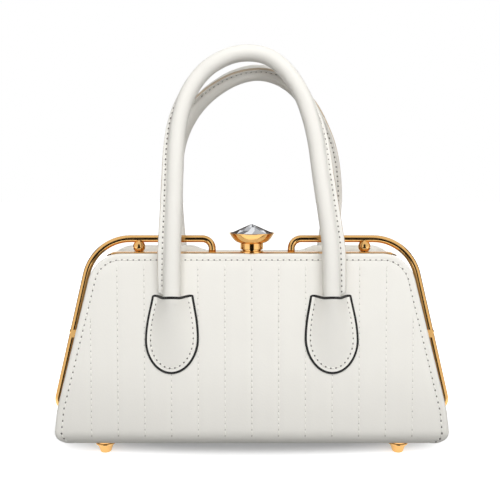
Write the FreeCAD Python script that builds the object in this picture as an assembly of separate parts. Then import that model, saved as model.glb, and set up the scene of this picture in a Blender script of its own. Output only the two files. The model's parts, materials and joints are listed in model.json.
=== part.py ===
"""Frame purse with a jewelled snap knob, built as separate pieces.

Millimetres. X is the width, the front faces -Y, Z is up and the feet stand on Z = 0.
The front and rear halves hinge near the base and swing apart. The handles tip outwards at their tabs.
"""
import FreeCAD, Part
import os
from math import atan, cos, degrees, radians, sin, sqrt, tan

# Body of the purse
body_top = 130.0            # top edge of both panels above the table
body_floor = 7.0            # underside of the base above the table
top_depth = 50.0            # front to back over the top edges
crease_depth = 95.0         # front to back at the crease, where the halves hinge
crease_height = 30.0        # height of the crease and of the hinge pins
crease_width = 253.4        # width at the crease
side_lean = 11.65           # degrees that the sides lean inwards
base_lean = 3.0             # degrees that they lean below the crease
corner_radius = 17.5        # top corners of the panels
base_corner_radius = 10.0   # lower corners seen from the front
base_roll_radius = 9.0      # roll from the front round to the underside
end_wall_drop = 3.0         # end walls of the base stop this far below the crease

# Sheets that make the walls
skin = 1.2                  # outer leather
board = 1.2                 # stiffener behind it
lining = 0.6                # cloth inside
board_inset = 1.2           # board stops short of the leather's edge
lining_inset = 9.0          # lining stops short of the leather's edge
lining_start = 6.5          # lining begins above the crease
sheet_gap = 0.3             # soft pieces stay this far from pieces of another body

# Opening of the two halves
open_angle = 15.0           # degrees each half swings out
crease_play = 5.0           # degrees left over in the crease when it is fully open
fold_gap = 0.3              # the bending strip in the crease stays this far from its walls

# Hinge
pin_inset = 6.0             # pin behind the outer face of the panel
pin_diameter = 2.4
pin_fit = 0.05              # radial clearance in the bracket
pin_past = 2.0              # pin stands this far past the bracket
bracket_thickness = 1.2
bracket_inset = 11.8        # inner face of the bracket in from the end of the crease
bracket_foot = 8.0          # foot of the bracket on the base board
bracket_ear_rim = 1.3       # metal round the bore
bracket_ear_width = 6.4
bracket_waist = 9.0         # height of the bar that joins the two ears
bracket_round = 1.6
strap_width = 12.0
strap_length = 26.0
strap_thickness = 1.0
strap_knuckle = 2.0         # radius of the strap's rolled end
strap_start = 4.0           # strap leaves the panel this far above the crease
strap_gap = 0.9             # strap to bracket, along the pin

# Base
base_board_thickness = 2.0
base_board_inset = 0.2      # board stops short of where the base begins to round
base_board_round = 8.0
foot_inset_x = 20.6         # feet in from the ends of the flat floor
foot_inset_y = 2.6          # feet in from its front and rear
foot_rim_diameter = 13.0    # rim against the base
foot_rim_height = 1.0
foot_top_diameter = 11.8
foot_bottom_diameter = 7.4
foot_height = 10.0          # before the top is shaped to the base
foot_edge = 1.2             # rounding at the ground
foot_screw_diameter = 3.0
foot_screw_depth = 4.0      # thread in the foot
foot_screw_head = 5.4
foot_screw_head_height = 1.2
foot_washer_diameter = 6.6
foot_washer_thickness = 0.6
screw_fit = 0.05            # radial clearance of screws and rivets

# Gussets
gusset_thickness = 1.2
gusset_inset = 5.0          # gusset stands in from the panel's edge
gusset_low = 21.0
gusset_high = 120.0
gusset_fold_low = 1.0       # depth of the pleat at its foot
gusset_fold_high = 40.0     # depth at its head, enough leather for the full opening
gusset_eyelet_gap = 0.7     # round the pins

# Front jaw
jaw_plate = 1.0
jaw_proud = 0.3             # stands above the leather
jaw_depth = 15.0            # front to back, from the outer face of the panel
jaw_wrap = 22.0             # degrees that its ends follow the corners
jaw_flange_inset = 26.6     # flange stops short of the panel's top corners
jaw_flange_height = 13.0
jaw_seat_gap = 0.1
rivet_diameter = 2.0
rivet_head = 3.6
rivet_head_height = 0.9
jaw_rivet_inset = 18.0      # outer rivets in from the flange's ends
jaw_rivet_count = 4
jaw_rivet_drop = 8.0        # below the top edge

# Rear jaw and its leather cover
rear_jaw_drop = 4.2         # top of the plate below the panel's edge
rear_jaw_inset = 11.6       # plate stops short of the panel's top corners
thumb_dip = 2.7             # hollow in the rear panel's top edge, behind the knob
thumb_dip_width = 68.0      # level stretch of the hollow
thumb_dip_ease = 13.0       # slope at each end of it
thumb_dip_round = 40.0
jaw_parting = 0.6           # gap between front plate and rear cover
cover_thickness = 1.2
cover_set_back = 0.5        # plate stops short of the cover's edge
cover_round = 6.0

# Tube bows on the front jaw
bow_tube = 4.6
bow_setback = 5.2           # inner foot behind the outer face of the panel
bow_rise = 9.2              # tube centre above the jaw plate
bow_inner_place = 27.0
bow_corner_past = 1.8       # corner of the centre line past the panel's, before it is rounded
bow_low_past = 1.9          # foot of the centre line past the end of the crease
bow_inner_bend = 6.9
bow_corner_bend = 32.0
bow_low_bend = 6.0
ball_inset = 29.0           # ball in from the panel's top corner
ball_diameter = 7.8
ball_centre_rise = 3.5      # above the jaw plate
ball_foot_diameter = 7.0
ball_foot_height = 0.8
side_post_height = 78.0
side_bead = 5.6
side_tongue_length = 7.5
side_tongue_height = 5.0
side_tongue_thickness = 1.0
tube_seat_gap = 0.03        # brazed seats against the tube

# Snap knob
knob_setback = 6.5          # axis behind the outer face of the panel
flange_diameter = 15.0
flange_height = 1.2
neck_diameter = 13.0
neck_height = 1.6
collar_diameter = 15.4
collar_height = 4.4
bowl_diameter = 30.4
bowl_height = 6.9
bowl_wall = 0.9
bulge_share = 0.16          # roundness of the bowl's side
crystal_rise = 5.6          # point above the rim
crystal_girdle = 0.6
crystal_sides = 16
crystal_crown_share = 0.56  # radius of the middle ring of facets
crystal_crown_rise_share = 0.52
crystal_point_share = 0.30  # radius of the flat under the stone
crystal_seat_gap = 0.3
knob_screw_diameter = 4.0
knob_screw_head = 5.6
knob_screw_head_height = 1.2
knob_screw_depth = 5.0      # into the knob's collar

# Catch on the rear jaw
catch_thickness = 0.5
catch_width = 9.0
catch_foot = 11.0
catch_riser_place = 4.5     # riser behind the front plate's edge
catch_under = 0.5           # lip above the flange
catch_reach_gap = 0.35      # lip to the neck
catch_rivet_pitch = 5.0

# Slip pocket
pocket_inset = 49.6         # pocket stops short of the panel's top corners
pocket_height = 52.0
pocket_low = 16.0
pocket_round = 8.0
pocket_thickness = 0.8

# Handle tabs
tab_place_share = 0.4967     # middle of a tab, of half the panel's top width
tab_top_height = 103.0
tab_height = 51.0
tab_width = 34.5
tab_top_width = 26.7
tab_upper_height = 28.5     # from the top corners to the widest part
tab_dip = 2.0               # hollow of the top edge
tab_thickness = 1.6
tab_ridge_top = 7.0         # radius of the swelling over the handle's end
tab_ridge_foot = 3.0
tab_ridge_length = 40.0
tab_ridge_sink = 5.0        # the swelling dies away into the panel
tab_ridge_back = 0.6        # it stops this far below the hollow of the top edge
round_share = 0.5523        # pole of a smooth quarter round

# Handles
handle_diameter = 11.4
handle_wall = 1.4
core_fit = 0.1
handle_swing = 60.0         # degrees each handle tips outwards
handle_lean = 9.5           # degrees each handle leans inwards at rest
handle_gap = 0.35           # rounded end to tab
handle_seat = 0.5           # leather of the tab behind the rounded end
fin_thickness = 2.4         # sewn seam along the outside of the loop
fin_width = 3.8
fin_start = 6.0             # seam begins above the tab
fin_fade = 30.0             # length over which it sinks into the arch
front_handle_top = 273.0
front_handle_left_lean = 1.1
front_handle_right_lean = 5.2
rear_handle_top = 262.0
rear_handle_left_lean = 0.5
rear_handle_right_lean = -2.5

overrun = 20.0              # length that cutting shapes run past what they cut

# Worked out from the sizes above
Vec = FreeCAD.Vector
ORIGIN = Vec(0, 0, 0)
X = Vec(1, 0, 0)
Y = Vec(0, 1, 0)
Z = Vec(0, 0, 1)
wall = skin + board
crease_half_width = crease_width / 2
crease_half_depth = crease_depth / 2
panel_rise = body_top - crease_height
panel_slope = (crease_depth - top_depth) / 2 / panel_rise
panel_lean = atan(panel_slope)
panel_length = panel_rise / cos(panel_lean)
side_slope = tan(radians(side_lean))
base_slope = tan(radians(base_lean))
top_half_width = crease_half_width - panel_rise * side_slope
bracket_place = crease_half_width - bracket_inset
jaw_flange_length = 2 * (top_half_width - jaw_flange_inset)
jaw_rivet_pitch = (jaw_flange_length - 2 * jaw_rivet_inset) / (jaw_rivet_count - 1)
rear_jaw_length = 2 * (top_half_width - rear_jaw_inset)
bow_corner_place = top_half_width + bow_corner_past
bow_low_place = crease_half_width + bow_low_past
ball_place = top_half_width - ball_inset
pocket_width = 2 * (top_half_width - pocket_inset)
tab_place = top_half_width * tab_place_share
pin_y = crease_half_depth - pin_inset
pin_radius = pin_diameter / 2
jaw_top = body_top + jaw_proud
jaw_front_y = -top_depth / 2
jaw_back_y = jaw_front_y + jaw_depth
rear_jaw_top = body_top - rear_jaw_drop
cover_top = rear_jaw_top + cover_thickness
cover_front_y = jaw_back_y + jaw_parting
floor_inside = body_floor + wall
base_board_top = floor_inside + base_board_thickness
handle_radius = handle_diameter / 2


def export(shape, name):
    """Write one piece to its own file."""
    shape.exportStep("parts/" + name + ".step")


def corner_points(before, corner, after, radius):
    """Where a rounding starts, passes its middle and ends."""
    back = (before - corner).normalize()
    ahead = (after - corner).normalize()
    half = back.getAngle(ahead) / 2
    cut = radius / tan(half)
    bisector = (back + ahead).normalize()
    return corner + back * cut, corner + bisector * (radius / sin(half) - radius), corner + ahead * cut


def rounded_wire(points, radii, closed=True):
    """Straight runs joined by tangent arcs; a radius of zero leaves a corner sharp."""
    count = len(points)
    edges = []
    last = None
    first = None
    for i, (corner, radius) in enumerate(zip(points, radii)):
        start = middle = end = corner
        if radius > 0:
            start, middle, end = corner_points(points[i - 1], corner, points[(i + 1) % count], radius)
        if last is None:
            first = start
        else:
            edges.append(Part.LineSegment(last, start).toShape())
        if radius > 0:
            edges.append(Part.Arc(start, middle, end).toShape())
        last = end
    if closed:
        edges.append(Part.LineSegment(last, first).toShape())
    return Part.Wire(edges)


def prism(points, radii, direction):
    """Rounded outline pushed along a direction."""
    return Part.Face(rounded_wire(points, radii)).extrude(direction)


def disc(centre, diameter, height, axis=Z):
    """Round bar standing on a point."""
    return Part.makeCylinder(diameter / 2, height, centre, axis)


def revolved(profile, centre):
    """Turned piece from (radius, height) corners."""
    points = [centre + X * radius + Z * height for radius, height in profile]
    return Part.Face(Part.makePolygon(points + points[:1])).revolve(centre, Z, 360)


def mirror_x(shape):
    return shape.mirror(ORIGIN, X)


def mirror_y(shape):
    return shape.mirror(ORIGIN, Y)


def on_front(x, up, out):
    """Point on the front panel: across, up along the leather, and out from its face."""
    y = -crease_half_depth + up * sin(panel_lean) - out * cos(panel_lean)
    z = crease_height + up * cos(panel_lean) + out * sin(panel_lean)
    return Vec(x, y, z)


def front_slab(outline, radii, near, far):
    """Outline on the front panel, from one depth to another along its outward normal."""
    points = [on_front(x, up, near) for x, up in outline]
    return prism(points, radii, on_front(0, 0, far) - on_front(0, 0, near))


def up_at(height):
    """Distance up the leather that belongs to a height above the table."""
    return (height - crease_height) / cos(panel_lean)


def half_width_at(height):
    """Half of the panel's width on its straight sides."""
    return crease_half_width - (height - crease_height) * side_slope


def pin_point(x):
    return Vec(x, -pin_y, crease_height)


# Panels: leather, board and lining of one half, made for the front and mirrored for the rear

def panel_outline(inset, drop):
    """Trapezoid of a panel, run down past the crease so that the crease can be cut."""
    low_half = crease_half_width + overrun * side_slope - inset
    low = -overrun / cos(panel_lean)
    top = panel_length - drop
    top_half = top_half_width - inset
    return [(-low_half, low), (low_half, low), (top_half, top), (-top_half, top)]


def below_crease():
    """Everything that the panel gives up so that it can swing past the base."""
    hinge = pin_point(-crease_width)
    tilt = radians(open_angle + crease_play)
    reach = crease_depth
    points = [
        hinge,
        hinge + Vec(0, -cos(tilt), sin(tilt)) * reach,
        hinge + Vec(0, -reach, -reach),
        hinge - Z * reach,
    ]
    return prism(points, [0] * 4, X * 2 * crease_width)


def board_drop():
    """Distance down the leather from its top edge to the board's."""
    return (jaw_plate - jaw_proud + jaw_seat_gap) / cos(panel_lean)


def panel_layers():
    """Leather skin, board and lining."""
    sharp_then_round = [0, 0, corner_radius, corner_radius]
    crease_cut = below_crease()
    leather = front_slab(panel_outline(0, 0), sharp_then_round, 0, -skin).cut(crease_cut)
    inner_round = corner_radius - board_inset
    stiffener = front_slab(
        panel_outline(board_inset, board_drop()), [0, 0, inner_round, inner_round], -skin, -wall
    ).cut(crease_cut)
    low = up_at(crease_height + lining_start)
    high = panel_length - jaw_flange_height - board_inset
    low_half = half_width_at(crease_height + lining_start) - lining_inset
    high_half = low_half - (high - low) * cos(panel_lean) * side_slope
    outline = [(-low_half, low), (low_half, low), (high_half, high), (-high_half, high)]
    cloth_round = corner_radius - lining_inset
    cloth = front_slab(outline, [0, 0, cloth_round, cloth_round], -wall, -wall - lining)
    return leather, stiffener, cloth


def thumb_hollow(drop):
    """Shallow hollow that a rear sheet gives up along its top, so that a thumb reaches the knob."""
    near = thumb_dip_width / 2
    far = near + thumb_dip_ease
    top = panel_length - drop
    deep = top - thumb_dip / cos(panel_lean)
    past = far + overrun
    outline = [(-past, top), (-far, top), (-near, deep), (near, deep), (far, top), (past, top)]
    outline += [(past, top + overrun), (-past, top + overrun)]
    radii = [0] + [thumb_dip_round] * 4 + [0] * 3
    return front_slab(outline, radii, 0, -wall)


def crease_fold():
    """Soft strip that bends in the crease between the base and a panel."""
    tilt = radians(open_angle + crease_play)
    inner = pin_inset - (skin + board) / cos(panel_lean)
    half = crease_half_width - gusset_inset
    gap_up = fold_gap / cos(tilt)
    points = [
        pin_point(-half) + Vec(0, -inner, fold_gap),
        pin_point(-half) + Vec(0, -inner, inner * tan(tilt) - gap_up),
        pin_point(-half) + Vec(0, -pin_inset, pin_inset * tan(tilt) - gap_up),
        pin_point(-half) + Vec(0, -pin_inset, fold_gap),
    ]
    return prism(points, [0] * 4, X * 2 * half)


# Base tray with its end walls, board, feet and screws

def base_block(inset, top):
    """Solid of the base: its end profile crossed with its front profile."""
    floor = body_floor + inset
    depth_top = crease_half_depth - inset / cos(panel_lean) - (top - crease_height) * panel_slope
    depth_low = depth_top + (top - floor) * panel_slope
    width_top = crease_half_width - inset / cos(radians(base_lean)) - (top - crease_height) * base_slope
    width_low = width_top + (top - floor) * base_slope
    ends = [
        Vec(-crease_width, -depth_top, top),
        Vec(-crease_width, -depth_low, floor),
        Vec(-crease_width, depth_low, floor),
        Vec(-crease_width, depth_top, top),
    ]
    roll = base_roll_radius - inset
    from_the_side = prism(ends, [0, roll, roll, 0], X * 2 * crease_width)
    front = [
        Vec(-width_top, -crease_depth, top),
        Vec(-width_low, -crease_depth, floor),
        Vec(width_low, -crease_depth, floor),
        Vec(width_top, -crease_depth, top),
    ]
    corner = base_corner_radius - inset
    from_the_front = prism(front, [0, corner, corner, 0], Y * 2 * crease_depth)
    return from_the_side.common(from_the_front)


def flat_floor(crease_half, slope, radius):
    """Half of the flat stretch of the floor inside, between its rounded edges."""
    lean = atan(slope)
    low_half = crease_half - wall / cos(lean) + (crease_height - floor_inside) * slope
    return low_half - (radius - wall) / tan((radians(90) - lean) / 2)


foot_place_x = flat_floor(crease_half_width, base_slope, base_corner_radius) - foot_inset_x
foot_place_y = flat_floor(crease_half_depth, panel_slope, base_roll_radius) - foot_inset_y


def foot_places():
    for side, x in (("left", -foot_place_x), ("right", foot_place_x)):
        for end, y in (("front", -foot_place_y), ("rear", foot_place_y)):
            yield end + "_" + side, Vec(x, y, 0)


def screw_shaft(place, extra):
    """Shaft of a foot's screw, or the hole for it with a clearance added to its radius."""
    low = body_floor - foot_screw_depth
    length = base_board_top + foot_washer_thickness - low
    return disc(place + Z * low, foot_screw_diameter + 2 * extra, length)


def make_base():
    outside = base_block(0, crease_height)
    inside = base_block(wall, crease_height + overrun)
    inner_half_depth = crease_half_depth - wall / cos(panel_lean)
    end_gap = Part.makeBox(
        2 * crease_width, 2 * inner_half_depth, overrun,
        Vec(-crease_width, -inner_half_depth, crease_height - end_wall_drop),
    )
    wrap = outside.cut(inside).cut(end_gap)
    half_x = flat_floor(crease_half_width, base_slope, base_corner_radius) - base_board_inset
    half_y = flat_floor(crease_half_depth, panel_slope, base_roll_radius) - base_board_inset
    corners = [Vec(-half_x, -half_y, floor_inside), Vec(half_x, -half_y, floor_inside)]
    corners += [Vec(half_x, half_y, floor_inside), Vec(-half_x, half_y, floor_inside)]
    plank = prism(corners, [base_board_round] * 4, Z * base_board_thickness)
    screws = []
    washers = []
    for name, place in foot_places():
        hole = screw_shaft(place, screw_fit)
        wrap = wrap.cut(hole)
        plank = plank.cut(hole)
        export(make_foot(place, outside).cut(hole), name + "_foot")
        seat = place + Z * base_board_top
        washers.append(disc(seat, foot_washer_diameter, foot_washer_thickness).cut(hole))
        head = disc(seat + Z * foot_washer_thickness, foot_screw_head, foot_screw_head_height)
        screws.append(screw_shaft(place, 0).fuse(head))
    cloth_half_x = bracket_place - bracket_foot - bracket_thickness
    cloth = Part.makeBox(
        2 * cloth_half_x, 2 * half_y, lining, Vec(-cloth_half_x, -half_y, base_board_top)
    )
    for name, place in foot_places():
        cloth = cloth.cut(disc(place + Z * base_board_top, foot_washer_diameter + sheet_gap, lining))
    for side in (1, -1):
        for place in bracket_rivet_places():
            plank = plank.cut(disc(Vec(side * place.x, place.y, floor_inside), rivet_hole(), wall))
    export(wrap, "base_wrap")
    export(plank, "base_board")
    export(cloth, "base_lining")
    export(Part.makeCompound(screws), "foot_screws")
    export(Part.makeCompound(washers), "foot_washers")


def make_foot(place, outside):
    """Turned cone foot with a rounded edge and a rim, its top shaped to the base."""
    neck = body_floor - foot_rim_height
    points = [
        place,
        place + X * (foot_bottom_diameter / 2),
        place + X * (foot_top_diameter / 2) + Z * neck,
        place + X * (foot_rim_diameter / 2) + Z * neck,
        place + X * (foot_rim_diameter / 2) + Z * foot_height,
        place + Z * foot_height,
    ]
    profile = rounded_wire(points, [0, foot_edge, 0, 0, 0, 0])
    return Part.Face(profile).revolve(place, Z, 360).cut(outside)


# Hinges

def rivet_hole():
    return rivet_diameter + 2 * screw_fit


def bracket_rivet_places():
    """Rivets of the right bracket's foot."""
    x = bracket_place - bracket_foot / 2
    for y in (-foot_place_y / 2, foot_place_y / 2):
        yield Vec(x, y, base_board_top + bracket_thickness)


def rivet(place, grip, axis=Z):
    """Rivet whose head sits on a point and whose shank goes down through the grip."""
    head = disc(place, rivet_head, rivet_head_height, axis)
    top = [e for e in head.Edges if abs((e.CenterOfMass - place).dot(axis) - rivet_head_height) < screw_fit]
    head = head.makeFillet(rivet_head_height / 2, top)
    return head.fuse(disc(place - axis * grip, rivet_diameter, grip, axis))


def make_bracket():
    """U-shaped plate with a bore for a front and a rear pin, on a foot that is riveted down."""
    rim = pin_radius + pin_fit + bracket_ear_rim
    ear_out = pin_y + rim
    ear_in = ear_out - bracket_ear_width
    ear_top = crease_height + rim
    low = base_board_top
    waist = low + bracket_waist
    half_foot = foot_place_y - base_roll_radius / 2
    half = [(half_foot, low), (ear_out, waist), (ear_out, ear_top), (ear_in, ear_top), (ear_in, waist)]
    half_radii = [0, bracket_round, rim, bracket_round, bracket_round]
    outline = half + [(-y, z) for y, z in reversed(half)]
    points = [Vec(bracket_place, y, z) for y, z in outline]
    plate = prism(points, half_radii + half_radii[::-1], X * bracket_thickness)
    for y in (-pin_y, pin_y):
        start = Vec(bracket_place - overrun, y, crease_height)
        plate = plate.cut(disc(start, pin_diameter + 2 * pin_fit, 2 * overrun, X))
    foot_half = foot_place_y - bracket_foot
    foot = Part.makeBox(
        bracket_foot, 2 * foot_half, bracket_thickness, Vec(bracket_place - bracket_foot, -foot_half, low)
    )
    bracket = plate.fuse(foot).removeSplitter()
    rivets = []
    for place in bracket_rivet_places():
        grip = bracket_thickness + base_board_thickness
        bracket = bracket.cut(disc(place - Z * grip, rivet_hole(), grip))
        rivets.append(rivet(place, grip))
    return bracket, Part.makeCompound(rivets)


def make_rear_strap():
    """Hinge strap on the inside of a panel, with a rolled end and a pin, drawn on the front."""
    right = bracket_place - strap_gap
    left = right - strap_width
    hinge = pin_point(left)
    length = strap_start + strap_length
    profile = [
        on_front(left, length, -wall),
        on_front(left, strap_start, -wall),
        hinge + Vec(0, -strap_knuckle, 0),
        hinge + Vec(0, 0, strap_knuckle),
        on_front(left, strap_start + 2 * strap_knuckle, -wall - strap_thickness),
        on_front(left, length, -wall - strap_thickness),
    ]
    leaf = prism(profile, [0] * 6, X * strap_width)
    knuckle = disc(hinge, 2 * strap_knuckle, strap_width, X)
    pin = disc(pin_point(right), pin_diameter, strap_gap + bracket_thickness + pin_past, X)
    return leaf.fuse([knuckle, pin])


def strap_room():
    """Room in the lining for the two hinge straps."""
    left = bracket_place - strap_gap - strap_width - sheet_gap
    right = crease_half_width
    high = strap_start + strap_length + sheet_gap
    room = front_slab([(left, 0), (right, 0), (right, high), (left, high)], [0] * 4, -wall, -wall - lining)
    return room.fuse(mirror_x(room))


# Side gussets

def make_gusset():
    """Leather pleat between the front and rear panels on the right side."""
    wires = []
    for height, fold in ((gusset_low, gusset_fold_low), (gusset_high, gusset_fold_high)):
        depth = crease_half_depth - (height - crease_height) * panel_slope - wall / cos(panel_lean)
        depth -= sheet_gap + lining
        edge = half_width_at(height) - gusset_inset
        outer = [Vec(edge, -depth, height), Vec(edge - fold, 0, height), Vec(edge, depth, height)]
        inner = [point - X * gusset_thickness for point in reversed(outer)]
        wires.append(Part.makePolygon(outer + inner + outer[:1]))
    pleat = Part.makeLoft(wires, True, True)
    for y in (-pin_y, pin_y):
        eyelet = disc(Vec(0, y, crease_height), pin_diameter + 2 * gusset_eyelet_gap, crease_width, X)
        pleat = pleat.cut(eyelet)
    return pleat


# Front jaw plate and its rivets

def jaw_arch(radius, side):
    """End, middle and start of the stretch that follows a top corner."""
    centre = Vec(side * flat_half_width(), 0, body_top - corner_radius)
    points = []
    for turn in (radians(jaw_wrap), radians(jaw_wrap) / 2, 0):
        points.append(centre + Vec(side * radius * sin(turn), 0, radius * cos(turn)))
    return points


def flat_half_width():
    """Half of the straight stretch of a panel's top edge."""
    top = Vec(0, panel_length, 0)
    corner = top + X * top_half_width
    start, middle, end = corner_points(top, corner, X * crease_half_width, corner_radius)
    return start.x


def jaw_rivet_places():
    span = jaw_rivet_pitch * (jaw_rivet_count - 1)
    for i in range(jaw_rivet_count):
        yield i * jaw_rivet_pitch - span / 2


def jaw_flange(plate_top):
    """Strip of a jaw that lies behind the board and runs up into its plate."""
    low = panel_length - jaw_flange_height
    half = jaw_flange_length / 2
    top = up_at(plate_top - jaw_plate / 2) + (wall + jaw_plate) * tan(panel_lean)
    outline = [(-half, low), (half, low), (half, top), (-half, top)]
    return front_slab(outline, [0] * 4, -wall, -wall - jaw_plate)


def make_front_jaw():
    """Polished plate along the top edge, with ends that follow the corners and a flange inside."""
    outer = corner_radius + jaw_proud
    inner = outer - jaw_plate
    edges = []
    loop = []
    for radius, sides in ((outer, (-1, 1)), (inner, (1, -1))):
        for turn, side in enumerate(sides):
            end, middle, start = jaw_arch(radius, side)
            loop.append((end, middle, start) if turn == 0 else (start, middle, end))
    for i, (start, middle, end) in enumerate(loop):
        edges.append(Part.Arc(start, middle, end).toShape())
        edges.append(Part.LineSegment(end, loop[(i + 1) % len(loop)][0]).toShape())
    plate_front = jaw_front_y + skin / cos(panel_lean) + jaw_seat_gap
    plate = Part.Face(Part.Wire(edges)).extrude(Y * (jaw_back_y - plate_front))
    plate.translate(Y * plate_front)
    jaw = plate.fuse(jaw_flange(jaw_top))
    return jaw.cut(disc(knob_place(-overrun), knob_screw_diameter + 2 * screw_fit, 2 * overrun))


def rivet_rows(pieces, in_front):
    """Pierce the flange and board of a half, and fill the holes with rivets."""
    rivets = []
    for x in jaw_rivet_places():
        up = panel_length - jaw_rivet_drop
        seat = on_front(x, up, -wall - jaw_plate)
        inwards = (on_front(0, 0, -1) - on_front(0, 0, 0)).normalize()
        grip = jaw_plate + board
        pieces = [piece.cut(disc(seat - inwards * grip, rivet_hole(), grip, inwards)) for piece in pieces]
        rivets.append(rivet(seat, grip, inwards))
    rivets = Part.makeCompound(rivets)
    if in_front:
        return pieces, rivets
    return [mirror_y(piece) for piece in pieces], mirror_y(rivets)


# Tube bows with their posts

def bow_tilt():
    foot_y = jaw_front_y + bow_setback
    return atan((pin_y + foot_y) / (jaw_top - crease_height))


def on_bow(x, height):
    """Point of the bow's plane at a height above the table."""
    return Vec(x, -pin_y + (height - crease_height) * tan(bow_tilt()), height)


def bow_x_at(height):
    """Centre line of the slanted side of the bow."""
    share = (height - crease_height) / (jaw_top + bow_rise - crease_height)
    return bow_low_place + (bow_corner_place - bow_low_place) * share


def swept_disc(path, radius):
    """Round bar along a path of runs and arcs."""
    start = path.Edges[0]
    point = start.valueAt(start.FirstParameter)
    along = start.tangentAt(start.FirstParameter)
    ring = Part.Wire(Part.makeCircle(radius, point, along))
    return path.makePipeShell([ring], True, False)


def make_bow():
    """Right bow: foot on the jaw, run along the top, round the corner, down the side, turned in to a pin."""
    run = jaw_top + bow_rise
    tube_end = half_width_at(crease_height - bow_tube) - gusset_inset + sheet_gap
    points = [
        on_bow(bow_inner_place, jaw_top),
        on_bow(bow_inner_place, run),
        on_bow(bow_corner_place, run),
        on_bow(bow_low_place, crease_height),
        on_bow(tube_end, crease_height),
    ]
    radii = [0, bow_inner_bend, bow_corner_bend, bow_low_bend, 0]
    tube = swept_disc(rounded_wire(points, radii, closed=False), bow_tube / 2)
    foot_trim = disc(points[0] - Z * bow_tube, 2 * bow_tube, bow_tube)
    pin_length = tube_end - bracket_place + pin_past
    pin = disc(on_bow(tube_end, crease_height), pin_diameter, pin_length, -X)
    return tube.cut(foot_trim).fuse(pin)


def make_ball_post():
    """Ball on a small foot that carries the right bow's top run."""
    run = on_bow(ball_place, jaw_top + bow_rise)
    place = Vec(ball_place, run.y - bow_rise * tan(bow_tilt()) / 2, jaw_top)
    ball = Part.makeSphere(ball_diameter / 2, place + Z * ball_centre_rise)
    foot = disc(place, ball_foot_diameter, ball_foot_height)
    below = disc(place - Z * ball_diameter, 2 * ball_diameter, ball_diameter)
    tube = disc(run - X * overrun, bow_tube + 2 * tube_seat_gap, 2 * overrun, X)
    return ball.fuse(foot).cut(below).cut(tube)


def make_side_post():
    """Bead on the side of the right bow, with a tongue sewn to the back of the panel."""
    centre = on_bow(bow_x_at(side_post_height), side_post_height)
    along = (on_bow(bow_corner_place, jaw_top + bow_rise) - on_bow(bow_low_place, crease_height)).normalize()
    bead = Part.makeSphere(side_bead / 2, centre)
    up = up_at(side_post_height)
    half = side_tongue_height / 2
    right = half_width_at(side_post_height)
    left = half_width_at(side_post_height - side_tongue_height) - gusset_inset + sheet_gap
    outline = [(left, up - half), (left + side_tongue_length, up - half)]
    outline += [(left + side_tongue_length, up + half), (left, up + half)]
    seat = -wall - tube_seat_gap
    tongue = front_slab(outline, [0] * 4, seat, seat - side_tongue_thickness)
    tube = disc(centre - along * overrun, bow_tube + 2 * tube_seat_gap, 2 * overrun, along)
    panel_outside = front_slab(
        [(left - overrun, up - overrun), (right + overrun, up - overrun),
         (right + overrun, up + overrun), (left - overrun, up + overrun)],
        [0] * 4, seat, overrun,
    )
    return bead.fuse(tongue).cut(tube).cut(panel_outside)


# Snap knob and catch

def knob_place(rise):
    """Point on the knob's axis above the jaw plate."""
    return Vec(0, jaw_front_y + knob_setback, jaw_top + rise)


def make_knob():
    """Flange with its neck, collar with its bowl, faceted stone and the screw that holds them."""
    base = revolved(
        [(0, 0), (flange_diameter / 2, 0), (flange_diameter / 2, flange_height),
         (neck_diameter / 2, flange_height), (neck_diameter / 2, flange_height + neck_height),
         (0, flange_height + neck_height)],
        knob_place(0),
    )
    collar_low = flange_height + neck_height
    rim = collar_low + collar_height + bowl_height
    head = make_bowl(collar_low)
    shaft_low = -jaw_plate - screw_fit
    shaft_length = collar_low + knob_screw_depth - shaft_low
    hole = disc(knob_place(shaft_low), knob_screw_diameter + 2 * screw_fit, shaft_length)
    shaft = disc(knob_place(shaft_low), knob_screw_diameter, shaft_length - screw_fit)
    head_low = knob_place(shaft_low - knob_screw_head_height)
    screw = shaft.fuse(disc(head_low, knob_screw_head, knob_screw_head_height))
    export(base.cut(hole), "lock_base")
    export(head.cut(hole), "lock_knob")
    export(screw, "lock_screw")
    export(make_crystal(rim), "crystal")


def make_bowl(low):
    """Collar and round-sided bowl, turned in one piece."""
    collar = collar_diameter / 2
    rim = bowl_diameter / 2
    top = low + collar_height + bowl_height
    start = knob_place(low + collar_height) + X * collar
    end = knob_place(top) + X * rim
    across = Y.cross(end - start).normalize()
    middle = (start + end) * 0.5 + across * ((end - start).Length * bulge_share)
    inner_end = knob_place(top) + X * (rim - bowl_wall)
    inner_start = knob_place(low + collar_height + bowl_wall) + X * (collar - bowl_wall)
    inner_middle = middle + (inner_end + inner_start - end - start) * 0.5
    axis_low = knob_place(low)
    edges = [
        Part.LineSegment(axis_low, axis_low + X * collar).toShape(),
        Part.LineSegment(axis_low + X * collar, start).toShape(),
        Part.Arc(start, middle, end).toShape(),
        Part.LineSegment(end, inner_end).toShape(),
        Part.Arc(inner_end, inner_middle, inner_start).toShape(),
        Part.LineSegment(inner_start, knob_place(low + collar_height + bowl_wall)).toShape(),
        Part.LineSegment(knob_place(low + collar_height + bowl_wall), axis_low).toShape(),
    ]
    return Part.Face(Part.Wire(edges)).revolve(axis_low, Z, 360)


def ring_of_points(radius, rise, shift):
    """Corners of one ring of facets."""
    points = []
    for i in range(crystal_sides):
        turn = radians(360 * (i + shift) / crystal_sides)
        points.append(knob_place(rise) + Vec(radius * cos(turn), radius * sin(turn), 0))
    return points


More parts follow.
